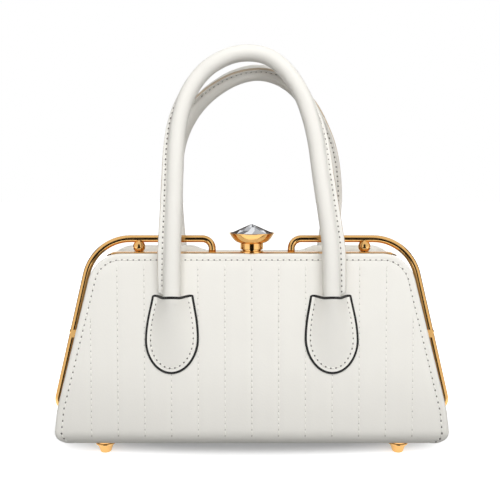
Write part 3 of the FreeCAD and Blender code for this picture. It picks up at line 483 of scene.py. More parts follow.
# Leather walls
class Wall:
    """Outer face of one leather wall, from its top edge over the roll to the middle of the base."""

    bend_below = 1.0        # band round the hinge line starts this far below it
    bend_above = 3.0        # to this far above it

    def __init__(self, side):
        self.side = side
        self.sign = SIGN[side]
        setback = BASE_ROLL / math.tan((math.pi / 2 - LEAN) / 2)
        self.length = (BODY_TOP - CREASE_HEIGHT) / math.cos(LEAN)
        self.roll_start = (BODY_TOP - BODY_FLOOR) / math.cos(LEAN) - setback
        self.floor_start = self.roll_start + BASE_ROLL * (math.pi / 2 + LEAN)
        self.floor_depth = TOP_HALF_DEPTH + (BODY_TOP - BODY_FLOOR) * math.tan(LEAN) - setback
        self.end = self.floor_start + self.floor_depth

    def profile(self, down):
        """Depth, height and angle of the normal at a distance down the wall."""
        flat = min(down, self.roll_start)
        depth = TOP_HALF_DEPTH + flat * math.sin(LEAN)
        height = BODY_TOP - flat * math.cos(LEAN)
        if down <= self.roll_start:
            return depth, height, LEAN
        if down <= self.floor_start:
            angle = LEAN - (down - self.roll_start) / BASE_ROLL
            depth += BASE_ROLL * (math.cos(angle) - math.cos(LEAN))
            height += BASE_ROLL * (math.sin(angle) - math.sin(LEAN))
            return depth, height, angle
        return self.floor_depth - (down - self.floor_start), BODY_FLOOR, -math.pi / 2

    def normal(self, down):
        angle = self.profile(down)[2]
        return np.array((0.0, self.sign * math.cos(angle), math.sin(angle)))

    def way_down(self, down):
        angle = self.profile(down)[2]
        return np.array((0.0, self.sign * math.sin(angle), -math.cos(angle)))

    def point(self, x, down, out=0.0):
        depth, height, angle = self.profile(down)
        return np.array((x, self.sign * (depth + out * math.cos(angle)),
                         height + out * math.sin(angle)))

    def bend(self):
        """Points where the band round the hinge line starts and ends, in metres."""
        return (self.point(0, self.length + self.bend_below) * MM,
                self.point(0, self.length - self.bend_above) * MM)

    def half_width(self, down):
        if down < CORNER_DROP:
            return FLAT_HALF_WIDTH + math.sqrt(TOP_CORNER ** 2 - (TOP_CORNER - down) ** 2)
        height = self.profile(down)[1]
        if height > CREASE_HEIGHT:
            return CREASE_HALF_WIDTH - (height - CREASE_HEIGHT) * SIDE_SLOPE
        if height > LOW_CORNER_TOP:
            return CREASE_HALF_WIDTH - (height - CREASE_HEIGHT) * BASE_SLOPE
        rise = height - BODY_FLOOR - LOW_CORNER
        return LOW_FLAT_HALF + math.sqrt(max(LOW_CORNER ** 2 - rise ** 2, 0.0))

    def edge_distance(self, x, down):
        """How far a point lies in from the nearest edge of the wall."""
        across = abs(x)
        if down < CORNER_DROP and across > FLAT_HALF_WIDTH:
            return max(0.0, TOP_CORNER - math.hypot(across - FLAT_HALF_WIDTH, TOP_CORNER - down))
        return max(0.0, min(down, (self.half_width(down) - across) * math.cos(EDGE_LEAN)))


class Skin(Wall):
    """Quilted leather on a wall."""

    inner_depth = 2.3                       # inner face behind the wall's outer one
    puff_start, puff_ease = 1.0, 4.0        # swelling begins inside the edge row, over this width
    puff_end, puff_fade = 6.0, 8.0          # and dies away past the start of the roll
    valley_depth, valley_width = 0.22, 1.1  # groove along the edge row
    edge_depth, edge_width = 0.35, 1.3      # rounding of the cut edge
    hem_height, hem_edge, hem_ease = 0.16, 1.5, 1.6     # fold between the edge and its row
    # Hollow of the rear top edge: its middle, its half width, the ease of its ends, its reach down.
    hollow_middle, hollow_half, hollow_ease, hollow_reach = 1.5, 47.0, 13.0, 24.0
    corner_rows = 12
    row_counts = (44, 6, 5, 16, 10)         # below the corners: wall, bend, foot, roll and base

    def __init__(self, side, scene):
        super().__init__(side)
        self.leather = scene.purse_leather
        self.inset = scene.purse_stitch.inset

    def line_gap(self, down):
        """Distance between the upright lines at a distance down the wall."""
        return self.leather.line_pitch * (1 + self.leather.line_spread * (0.5 - down / self.roll_start))

    def puff(self, x, down):
        """Swelling between stitched lines, with the edge row's groove, the hem and the rounded edge."""
        inside = self.edge_distance(x, down)
        past_row = inside - self.inset
        t = x / self.line_gap(min(down, self.roll_start))
        t -= math.floor(t)
        pillow = 1 - (2 * t - 1) ** 4
        room = smooth((past_row - self.puff_start) / self.puff_ease)
        room *= smooth((self.roll_start + self.puff_end - down) / self.puff_fade)
        valley = self.valley_depth * math.exp(-(past_row / self.valley_width) ** 2)
        edge = self.edge_depth * max(0.0, 1 - inside / self.edge_width) ** 2
        hem = self.hem_height * smooth(inside / self.hem_edge) * smooth(-past_row / self.hem_ease)
        return self.leather.puff * pillow * room + hem - valley - edge

    def sag(self, x, down):
        """Hollow of the rear top edge behind the knob, and the lift of the edge beside it."""
        if self.side == "front":
            return 0.0
        hollow = smooth((self.hollow_half - abs(x - self.hollow_middle)) / self.hollow_ease)
        depth = self.leather.rear_dip * hollow - self.leather.rear_lift
        return depth * smooth(1 - down / self.hollow_reach)

    def outside(self, x, down):
        out = self.leather.proud + self.puff(x, down)
        return self.point(x, down, out) - (0, 0, self.sag(x, down))

    def inside(self, x, down):
        return self.point(x, down, -self.inner_depth) - (0, 0, self.sag(x, down))

    def rows(self):
        """Distances down the wall, close together at the corners, the hinge line and the roll."""
        turns = np.linspace(0, math.pi / 2 - EDGE_LEAN, self.corner_rows)
        rows = list(TOP_CORNER * (1 - np.cos(turns)))
        stops = (CORNER_DROP, self.length - self.bend_above, self.length + self.bend_below,
                 self.roll_start, self.floor_start, self.end)
        for a, b, count in zip(stops, stops[1:], self.row_counts):
            rows += list(np.linspace(a, b, count)[1:])
        return rows


class PURSE_OT_walls(bpy.types.Operator):
    """Covers the front and the rear with one quilted skin each, from the top edge under the base"""
    bl_idname = "purse.walls"
    bl_label = "Leather walls"

    columns = 181

    def execute(self, context):
        across = np.linspace(-1, 1, self.columns)
        for side in SIGN:
            skin = Skin(side, context.scene)
            outer, inner = [], []
            for down in skin.rows():
                line = across * skin.half_width(down)
                outer.append([skin.outside(x, down) for x in line])
                inner.append([skin.inside(x, down) for x in line])
            piece = slab(side + "_skin", outer, inner, "leather")
            finish_piece(piece, "leather", side + "_fold", side + "_panel", side + "_board")
            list(skin.bend())
            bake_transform(piece)
        return {"FINISHED"}


class PURSE_OT_gussets(bpy.types.Operator):
    """Makes the pleated ends, each in two leaves that meet at the inward fold"""
    bl_idname = "purse.gussets"
    bl_label = "Gussets"

    low, high = 21.0, 120.0
    inset = 5.0             # in from the panel's edge
    setback = 2.6           # behind the panel's outer face
    fold_low, fold_high = 1.0, 40.0
    bow = 0.9               # leaf bows in between fold and panel
    crest, crest_width = 0.8, 0.05      # softness of the fold, and the share of the leaf it takes
    thickness = 1.2
    rows, columns = 34, 22
    flat_width, flat_length, flat_area = 47.0, 115.0, 4470.0
    bend_start, bend_end = 1.0, 30.0    # distances from the fold outwards
    bend_height = 70.0

    def leaf(self, name, end, side):
        outer, inner = [], []
        for z in np.linspace(self.low, self.high, self.rows):
            t = (z - self.low) / (self.high - self.low)
            edge = CREASE_HALF_WIDTH - (z - CREASE_HEIGHT) * SIDE_SLOPE - self.inset
            depth = CREASE_HALF_DEPTH - (z - CREASE_HEIGHT) * math.tan(LEAN) - self.setback
            fold = self.fold_low + (self.fold_high - self.fold_low) * t
            line = []
            for q in np.linspace(0, 1, self.columns):
                drop = fold * (1 - q) + self.bow * t * math.sin(math.pi * q) * (1 - q)
                soft = self.crest * t * math.exp(-(q / self.crest_width) ** 2)
                line.append((edge - drop + soft, SIGN[side] * depth * q))
            outer.append([(end * x, y, z) for x, y in line])
            inner.append([(end * (x - self.thickness), y, z) for x, y in line])
        return slab(name, outer, inner, "leather")

    def execute(self, context):
        for word, end in ENDS.items():
            for side, sign in SIGN.items():
                piece = self.leaf("gusset_leaf_%s_%s" % (word, side), end, side)
                finish_piece(piece, "leather", "gusset_" + word)
                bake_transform(piece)
        return {"FINISHED"}


# Tabs
class Tab:
    """One handle tab, which lies on a wall: across from its middle, below its top corners."""

    place = 52.7            # middle of the tab from the middle of the purse
    top_height = 102.2
    height = 50.0
    half = 16.95            # where it is widest
    top_half = 13.0
    upper = 28.5            # from the top corners to the widest part
    shoulder, foot = 1.15, 1.9          # powers that shape the sides and the foot
    dip, dip_share, dip_ease, dip_reach = 1.8, 0.86, 0.5, 14.0      # hollow of the top edge
    thickness, back = 1.6, 0.3
    swell, swell_length, swell_fade = 11.2, 47.0, 1.15
    swell_round = 0.58      # power that squares the swelling's cap
    swell_rim = 2.4         # flat leather beside the swelling
    least_reach = 2.0       # swelling's least half width
    pad, pad_ease = 0.5, 9.0            # thin filling down to the foot
    least_half = 0.05
    edge_radius, edge_out, edge_under = 0.92, 1.0, 0.55
    rows, columns = 46, 45
    rim_points, top_points, edge_around = 120, 40, 8

    def __init__(self, side, end):
        self.wall = Wall(side)
        self.middle = end * self.place
        self.top = (BODY_TOP - self.top_height) / math.cos(LEAN)

    def half_width(self, below):
        if below <= self.upper:
            t = below / self.upper
            widening = math.sin(t * math.pi / 2) ** self.shoulder
            return self.top_half + (self.half - self.top_half) * widening
        t = (below - self.upper) / (self.height - self.upper)
        return self.half * max(0.0, 1 - t ** self.foot) ** 0.5

    def drop(self, across, below):
        """Hollow of the top edge, which dies away further down."""
        share = smooth((self.dip_share - abs(across) / self.top_half) / self.dip_ease)
        return self.dip * share * smooth(1 - below / self.dip_reach)

    def out(self, across, below, half):
        """Thickness of the tab with the swelling over the handle's end."""
        reach = max(half - self.swell_rim, self.least_reach)
        q = min(1.0, abs(across) / reach)
        cap = ((1 + math.cos(math.pi * q)) / 2) ** self.swell_round
        fade = max(0.0, 1 - below / self.swell_length) ** self.swell_fade
        end = smooth((self.height - below) / self.pad_ease)
        return self.thickness + (self.swell * fade + self.pad * end) * cap

    def point(self, across, below, out):
        down = self.top + below + self.drop(across, below)
        return self.wall.point(self.middle + across, down, out)

    def rim(self):
        """Outline from the top left corner round the foot to the top right corner."""
        belows = self.height * np.sin(np.linspace(0, math.pi / 2, self.rim_points))
        right = [(self.half_width(b), b) for b in belows]
        return [(-a, b) for a, b in right] + [(a, b) for a, b in reversed(right[:-1])]

    def inset_rim(self, inset):
        """Outline moved inwards."""
        rim = np.asarray(self.rim())
        ways = np.gradient(rim, axis=0)
        ways /= np.linalg.norm(ways, axis=1)[:, None]
        return rim + inset * np.stack([ways[:, 1], -ways[:, 0]], axis=1)

    def leather(self, name):
        outer, inner = [], []
        for t in np.linspace(0, 1, self.rows):
            below = self.height * math.sin(t * math.pi / 2)
            half = max(self.half_width(below), self.least_half)
            line = np.linspace(-1, 1, self.columns) * half
            outer.append([self.point(a, below, self.out(a, below, half)) for a in line])
            inner.append([self.point(a, below, self.back) for a in line])
        return slab(name, outer, inner, "leather")

    def edge(self, name):
        """Painted edge, a round cord along the outline and over the swelling's top."""
        line = [self.point(a, b, self.edge_out) for a, b in self.rim()]
        for a in np.linspace(1, -1, self.top_points)[1:-1] * self.top_half:
            line.append(self.point(a, 0.0, self.out(a, 0.0, self.top_half) - self.edge_under))
        rings = np.array(tube_rings(line + line[:1], self.edge_radius, self.edge_around))[:-1]
        faces = grid_faces(*rings.shape[:2], closed=True, looped=True)
        return mesh_piece(name, list(rings.reshape(-1, 3)), faces, "edge paint")


class PURSE_OT_tabs(bpy.types.Operator):
    """Makes the four handle tabs, each with its swelling and its black painted edge"""
    bl_idname = "purse.tabs"
    bl_label = "Handle tabs"

    def execute(self, context):
        for side in SIGN:
            for word, end in ENDS.items():
                tab = Tab(side, end)
                name = "%s_tab_%s" % (side, word)
                leaf = tab.leather(name + "_leather")
                finish_piece(leaf, "leather", name)
                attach(leaf, side + "_half")
                edge = tab.edge(name + "_edge")
                finish_piece(edge, "leather")
                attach(edge, side + "_half")
        return {"FINISHED"}


# Handles
class Loop:
    """Centre line of one handle, with the turn and the width of its seam."""

    under_tab = 7.0         # the handle runs on this far below its tip axis
    parts = 14              # steps between two knots
    probe = 0.5             # the way along is taken over this length to either side
    # Share of the fin's width at distances from the tab: it sinks where it meets the tab.
    rises = ((-0.6, 1.2, 26, 80), (0.1, 1.2, 1.3, 1.0))

    def __init__(self, side):
        sign = SIGN[side]
        self.turns = SEAM_TURNS[side]
        self.start = np.array((0.0, *PIVOT[side]))
        self.up = np.array((0.0, -sign * math.sin(HANDLE_LEAN), math.cos(HANDLE_LEAN)))
        self.facing = np.array((0.0, sign * math.cos(HANDLE_LEAN), math.sin(HANDLE_LEAN)))
        knots = np.array(LOOPS[side], float)
        knots = np.vstack([self.past(knots[0], knots[1]), knots, self.past(knots[-1], knots[-2])])
        self.flat = self.curve(knots)
        self.run = distances(self.flat) - self.under_tab
        self.length = self.run[-1] - self.under_tab

    def past(self, end, before):
        """Point in the tab, straight past an end of the knots."""
        way = before - end
        return end - way / np.linalg.norm(way) * self.under_tab

    def curve(self, knots):
        """Smooth line through the knots."""
        slopes = np.gradient(knots, axis=0)
        line = []
        for a, b, m, n in zip(knots, knots[1:], slopes, slopes[1:]):
            for t in np.arange(self.parts) / self.parts:
                line.append(a * (1 + 2 * t) * (1 - t) ** 2 + m * t * (1 - t) ** 2
                            + b * t * t * (3 - 2 * t) + n * t * t * (t - 1))
        return np.array(line + [knots[-1]])

    def at(self, run):
        return at_distance(run, self.run, self.flat)

    def from_tab(self, run):
        return min(run, self.length - run)

    def frame(self, run):
        """Place, way along, way out to the seam and way across it at a distance along the loop."""
        x, u = self.at(run)
        way = self.at(run + self.probe) - self.at(run - self.probe)
        way /= np.linalg.norm(way)
        axis = np.array((1.0, 0.0, 0.0))
        place = self.start + axis * x + self.up * u
        along = axis * way[0] + self.up * way[1]
        outward = axis * -way[1] + self.up * way[0]
        turn = math.radians(np.interp(self.from_tab(run), *self.turns))
        seam = outward * math.cos(turn) + self.facing * math.sin(turn)
        across = -outward * math.sin(turn) + self.facing * math.cos(turn)
        return place, along, seam, across

    def seam_rise(self, run):
        return np.interp(self.from_tab(run), *self.rises)


class PURSE_OT_handles(bpy.types.Operator):
    """Rolls both handles, with the sewn fin that turns along their length"""
    bl_idname = "purse.handles"
    bl_label = "Rolled handles"

    root_gap = 0.2          # radians from the fin's root to the round leather
    foot_share, foot_flare = 0.12, 0.08 # fin's foot, of its height, and how far it spreads
    waist_share = 0.5
    tip_round = 0.6         # depth of the fin's rounded tip, of half its thickness
    bend_below, bend_above = 5.0, 4.0   # lengths below and above the tip axis
    round_points, tip_points = 40, 7

    def section(self, settings, rise):
        """Round leather and its fin: distances out along the seam and across it."""
        radius = settings.diameter / 2
        half = settings.fin_thickness / 2
        root = math.asin(half / radius)
        lift = radius * math.cos(root)
        gap = root + self.root_gap
        ring = [(radius * math.cos(a), radius * math.sin(a))
                for a in np.linspace(gap, 2 * math.pi - gap, self.round_points)]
        foot = [(lift + self.foot_share * rise, -half - self.foot_flare),
                (lift + self.waist_share * rise, -half)]
        tip = [(lift + rise + half * self.tip_round * (math.cos(a) - 1), half * math.sin(a))
               for a in np.radians(np.linspace(-90, 90, self.tip_points))]
        return ring + foot + tip + [(p, -q) for p, q in reversed(foot)]

    def execute(self, context):
        settings = context.scene.purse_handle
        for side in SIGN:
            loop = Loop(side)
            rings = []
            for run in loop.run:
                place, _, seam, across = loop.frame(run)
                section = self.section(settings, settings.fin * loop.seam_rise(run))
                rings.append([place + seam * p + across * q for p, q in section])
            around = len(rings[0])
            # The three faces at the fin's tip are the cut edge.
            first = around - self.tip_points
            tips = [i * around + j for i in range(len(rings) - 1) for j in range(first, first + 3)]
            piece = mesh_piece(side + "_rolled_handle", *sweep(rings), "leather", True, "cut edge", tips)
            finish_piece(piece, "leather", side + "_handle", side + "_handle_core")
            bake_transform(piece)
        return {"FINISHED"}


# Metalwork
class PURSE_OT_frame(bpy.types.Operator):
    """Makes the gilt bows, ball posts, jaw bead and feet"""
    bl_idname = "purse.frame"
    bl_label = "Gilt frame"

    bow_depth = 19.8        # bows in front of the middle at the jaw
    # Corners of a bow in its plane, x and height, from the jaw to the hinge pin.
    bow_corners = ((27.0, 130.0), (27.0, 139.5), (107.9, 139.5), (128.6, 30.0), (122.9, 30.0))
    bow_bends = (6.9, 29.5, 6.0)
    bow_step = 1.6
    pin_from, pin_to, pin_radius = 123.4, 113.6, 1.2
    ball_place = (77.1, -18.8)
    ball_radius, ball_rise = 4.2, 4.0
    ball_foot = ((0.01, -0.2), (3.5, -0.2), (3.5, 0.45), (3.2, 0.75), (1.9, 0.8))
    ball_turns = (-64.0, 66.0)          # degrees of the round that shows between foot and tube
    ball_neck = ((1.5, 4.2), (0.01, 4.4))
    bead_half, bead_corner, bead_wrap = 91.8, 17.8, 10.0
    bead_depth, bead_drop, bead_radius = 24.1, 0.1, 0.65
    foot_place = (96.8, 40.2)
    foot_profile = ((0.01, 0.0), (2.9, 0.0), (3.4, 0.2), (3.7, 0.6), (3.9, 1.2), (4.55, 3.0), (5.3, 4.9),
                    (5.5, 5.3), (6.25, 5.5), (6.5, 5.75), (6.5, 6.4), (6.3, 6.7), (5.6, 6.9),
                    (5.6, 7.9), (0.01, 7.9))

    def execute(self, context):
        for word, end in ENDS.items():
            self.bow(end, word, context.scene.purse_metal.tube / 2)
            self.ball(end, word)
        self.bead()
        for word, end in ENDS.items():
            for side, sign in SIGN.items():
                node = "%s_%s_foot" % (side, word)
                x, y = self.foot_place
                foot = lathe("gilt_" + node, self.foot_profile, end * x, sign * y, "gold", around=40)
                finish_piece(foot, "gold", node)
                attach(foot, "base")
        return {"FINISHED"}

    def on_bow(self, x, z):
        """Point in the bow's plane, which leans from the hinge pins to the jaw."""
        share = (z - CREASE_HEIGHT) / (JAW_TOP - CREASE_HEIGHT)
        return (x, -PIN_DEPTH + share * (PIN_DEPTH - self.bow_depth), z)

    def bow(self, end, word, radius):
        """Bent tube with the hinge pin at its lower end."""
        corners = [self.on_bow(end * x, z) for x, z in self.bow_corners]
        path = rounded_path(corners, self.bow_bends, self.bow_step)
        points, faces = sweep(tube_rings(path, radius, around=24))
        line = [self.on_bow(end * x, CREASE_HEIGHT) for x in np.linspace(self.pin_from, self.pin_to, 5)]
        pin_points, pin_faces = sweep(tube_rings(line, self.pin_radius, around=16))
        faces += [tuple(k + len(points) for k in face) for face in pin_faces]
        bow = mesh_piece("gilt_bow_" + word, points + pin_points, faces, "gold")
        finish_piece(bow, "gold", "bow_" + word)
        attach(bow, "front_half")

    def ball(self, end, word):
        """Ball on a foot, under the bow."""
        x, y = self.ball_place
        low = self.ball_foot[-1][1]
        turns = np.linspace(*np.radians(self.ball_turns), 16)
        bulge = [(self.ball_radius * math.cos(a), self.ball_rise + self.ball_radius * math.sin(a))
                 for a in turns]
        profile = [*self.ball_foot, *((r, z) for r, z in bulge if z > low),
                   *raised(self.ball_neck, self.ball_rise)]
        ball = lathe("gilt_ball_" + word, raised(profile, JAW_TOP), end * x, y, "gold", around=32)
        finish_piece(ball, "gold", "ball_post_" + word)
        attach(ball, "front_half")

    def bead(self):
        """Rolled front edge of the jaw, which follows the start of both corners."""
        turns = np.radians(np.linspace(0, self.bead_wrap, 6))
        half = [(self.bead_half + self.bead_corner * math.sin(a),
                 JAW_TOP - self.bead_corner * (1 - math.cos(a))) for a in turns]
        flat = [(x, JAW_TOP) for x in np.linspace(-self.bead_half, self.bead_half, 24)[1:-1]]
        line = [(-x, z) for x, z in reversed(half)] + flat + half
        path = [(x, -self.bead_depth, z - self.bead_drop) for x, z in line]
        points, faces = sweep(tube_rings(path, self.bead_radius, around=12))
        bead = mesh_piece("gilt_jaw_bead", points, faces, "gold")
        finish_piece(bead, "gold")
        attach(bead, "front_half")


class PURSE_OT_knob(bpy.types.Operator):
    """Turns the lock's flange, collar and bowl, and cuts its stone"""
    bl_idname = "purse.knob"
    bl_label = "Jewelled knob"

    x, y = 0.0, -18.5
    collar = JAW_TOP + 2.2
    bowl = collar + 4.4
    rim = bowl + 6.8
    # Profiles of radius and height, which count from the jaw, the collar, the rim and the bowl.
    flange_profile = ((0.01, -0.1), (7.7, -0.1), (7.9, 0.1), (7.9, 0.9), (7.6, 1.2), (6.5, 1.25),
                      (6.5, 2.4), (0.01, 2.4))
    collar_profile = ((0.01, 0.0), (7.6, 0.0), (7.9, 0.25), (7.9, 4.1), (7.7, 4.3))
    rim_profile = ((15.5, -0.05), (15.3, 0.05), (14.6, 0.05), (14.4, -0.2), (14.0, -1.2))
    bowl_low, bowl_flare, bowl_height, bowl_round = 8.0, 7.5, 6.6, 0.47
    bowl_rings, bowl_ease = 18, 1.6     # rings of the bowl's side, closer together at its foot
    bowl_floor = ((7.0, 1.0), (0.01, 1.0))
    facets = 16
    girdle = 14.1
    # Rings of the stone's corners from below: radius, height and turn in facets.
    stone_rings = ((3.6, bowl + 1.3, 0.0), (girdle, rim - 0.5, 0.0), (girdle, rim, 0.0),
                   (9.8, rim + 1.95, 0.5), (5.0, rim + 4.0, 0.0))
    stone_top, stone_foot = rim + 6.1, bowl + 1.2
    # Painted reflections: each facet gets a bright, grey or dark tone in place of the light and shade
    # inside the stone.
    painted_reflection_tones = (0, 1, 0, 2, 1, 0, 1, 2, 0, 1, 1, 0, 2)     # bright, grey and dark, dealt out in steps
    painted_reflection_step = 5

    def execute(self, context):
        base = raised(self.flange_profile, JAW_TOP)
        low = lathe("lock_foot", base, self.x, self.y, "gold", around=64)
        finish_piece(low, "gold", "lock_base")
        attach(low, "front_half")
        profile = raised(self.collar_profile, self.collar)
        for t in np.linspace(0, 1, self.bowl_rings) ** self.bowl_ease:
            profile.append((self.bowl_low + self.bowl_flare * t ** self.bowl_round,
                            self.bowl + self.bowl_height * t))
        profile += raised(self.rim_profile, self.rim) + raised(self.bowl_floor, self.bowl)
        cup = lathe("lock_cup", profile, self.x, self.y, "gold", around=72)
        finish_piece(cup, "gold", "lock_knob")
        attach(cup, "front_half")
        self.stone()
        return {"FINISHED"}

    def stone(self):
        """Pointed cut stone: girdle, two rings of facets and the apex above, a cone below."""
        n = self.facets
        points = []
        for radius, z, phase in self.stone_rings:
            for k in range(n):
                a = 2 * math.pi * (k + phase) / n
                points.append((self.x + radius * math.cos(a), self.y + radius * math.sin(a), z))
        apex = len(points)
        points += [(self.x, self.y, self.stone_top), (self.x, self.y, self.stone_foot)]
        faces = []
        for k in range(n):
            low, bottom, top, crown, table = [
                (i * n + k, i * n + (k + 1) % n) for i in range(len(self.stone_rings))]
            faces += [
                (*low, bottom[1], bottom[0]),
                (*bottom, top[1], top[0]),
                (*top, crown[0]),
                (top[1], crown[1], crown[0]),
                (*crown, table[1]),
                (crown[0], table[1], table[0]),
                (*table, apex),
                (low[1], low[0], apex + 1),
            ]
        gem = mesh_piece("cut_stone", points, faces, "stone", smooth=False)
        # Grey and dark facets are painted reflections.
        for finish in ("grey facet", "dark facet"):
            gem.data.materials.append(FINISH[finish])
        for k, facet in enumerate(gem.data.polygons):
            facet.material_index = self.painted_reflection_tones[k * self.painted_reflection_step % len(self.painted_reflection_tones)]
        finish_piece(gem, "crystal", "crystal")
        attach(gem, "front_half")


# Stitching
def stitch_tree():
    """Geometry nodes: on every point a thread and a dark disc of painted hole shade, turned by its along
    and out vectors.
    """
    tree = bpy.data.node_groups.new("Stitch row", "GeometryNodeTree")
    sizes = ("Thread length", "Thread radius", "Hole radius", "Half pitch", "Lift")
    sockets = [("Geometry", "Geometry"), *((name, "Float") for name in sizes),
               ("Thread", "Material"), ("Hole", "Material")]
    for name, kind in sockets:
        tree.interface.new_socket(name, in_out="INPUT", socket_type="NodeSocket" + kind)
    tree.interface.new_socket("Geometry", in_out="OUTPUT", socket_type="NodeSocketGeometry")
    net = Net(tree)
    given = net.add("NodeGroupInput")
    out, along = [net.add("GeometryNodeInputNamedAttribute", {"Name": name}, data_type="FLOAT_VECTOR")
                  for name in ("out", "along")]
    turn = net.add("FunctionNodeAxesToRotation",
                   {"Primary Axis": out["Attribute"], "Secondary Axis": along["Attribute"]},
                   primary_axis="Z", secondary_axis="X")
    thread, hole = given["Thread radius"], given["Hole radius"]
    shapes = (
        ("Thread", 6, {2: given["Lift"]}, {0: given["Thread length"] * 0.5, 1: thread, 2: thread * 0.8}),
        # The hole is a flat dark disc: painted shade for the inside of a stitch hole.
        ("Hole", 7, {0: given["Half pitch"]}, {0: hole * 1.25, 1: hole, 2: hole * 0.22}),
    )
    join = net.add("GeometryNodeJoinGeometry")
    for slot, segments, shift, stretch in shapes:
        ball = net.add("GeometryNodeMeshUVSphere", {"Segments": segments, "Rings": 4, "Radius": 1.0})
        shape = net.add("GeometryNodeTransform", {
            "Geometry": ball["Mesh"],
            "Translation": net.add("ShaderNodeCombineXYZ", shift)["Vector"],
            "Scale": net.add("ShaderNodeCombineXYZ", stretch)["Vector"]})
        spread = net.add("GeometryNodeInstanceOnPoints", {
            "Points": given["Geometry"], "Instance": shape["Geometry"], "Rotation": turn["Rotation"]})
        real = net.add("GeometryNodeRealizeInstances", {"Geometry": spread["Instances"]})
        painted = net.add("GeometryNodeSetMaterial", {
            "Geometry": real["Geometry"], "Material": given[slot]})
        tree.links.new(painted["Geometry"].socket, join.node.inputs[0])
    net.add("NodeGroupOutput", {0: join["Geometry"]})
    return tree


def stitch_piece(tree, name, row, sizes, hole):
    """Plain mesh of the stitches on a list of places, each with its along and out vectors."""
    places, alongs, outs = [np.array(column, float) for column in zip(*row)]
    mesh = bpy.data.meshes.new(name)
    mesh.from_pydata([tuple(p) for p in places * MM], [], [])
    for key, column in (("along", alongs), ("out", outs)):
        layer = mesh.attributes.new(key, "FLOAT_VECTOR", "POINT")
        layer.data.foreach_set("vector", column.ravel())
    piece = new_object(name, mesh)
    modifier = piece.modifiers.new("Stitches", "NODES")
    modifier.node_group = tree
    inputs = {item.name: item.identifier for item in tree.interface.items_tree
              if item.in_out == "INPUT"}
    for key, value in sizes.items():
        modifier[inputs[key]] = value * MM
    modifier[inputs["Thread"]] = FINISH["thread"]
    modifier[inputs["Hole"]] = FINISH[hole]
    bpy.context.view_layer.update()
    graph = bpy.context.evaluated_depsgraph_get()
    done = bpy.data.meshes.new_from_object(piece.evaluated_get(graph))
    piece.modifiers.clear()
    piece.data = done
    done.shade_smooth()
    if not done.polygons:
        raise RuntimeError("no stitches came out for " + name)
    return piece


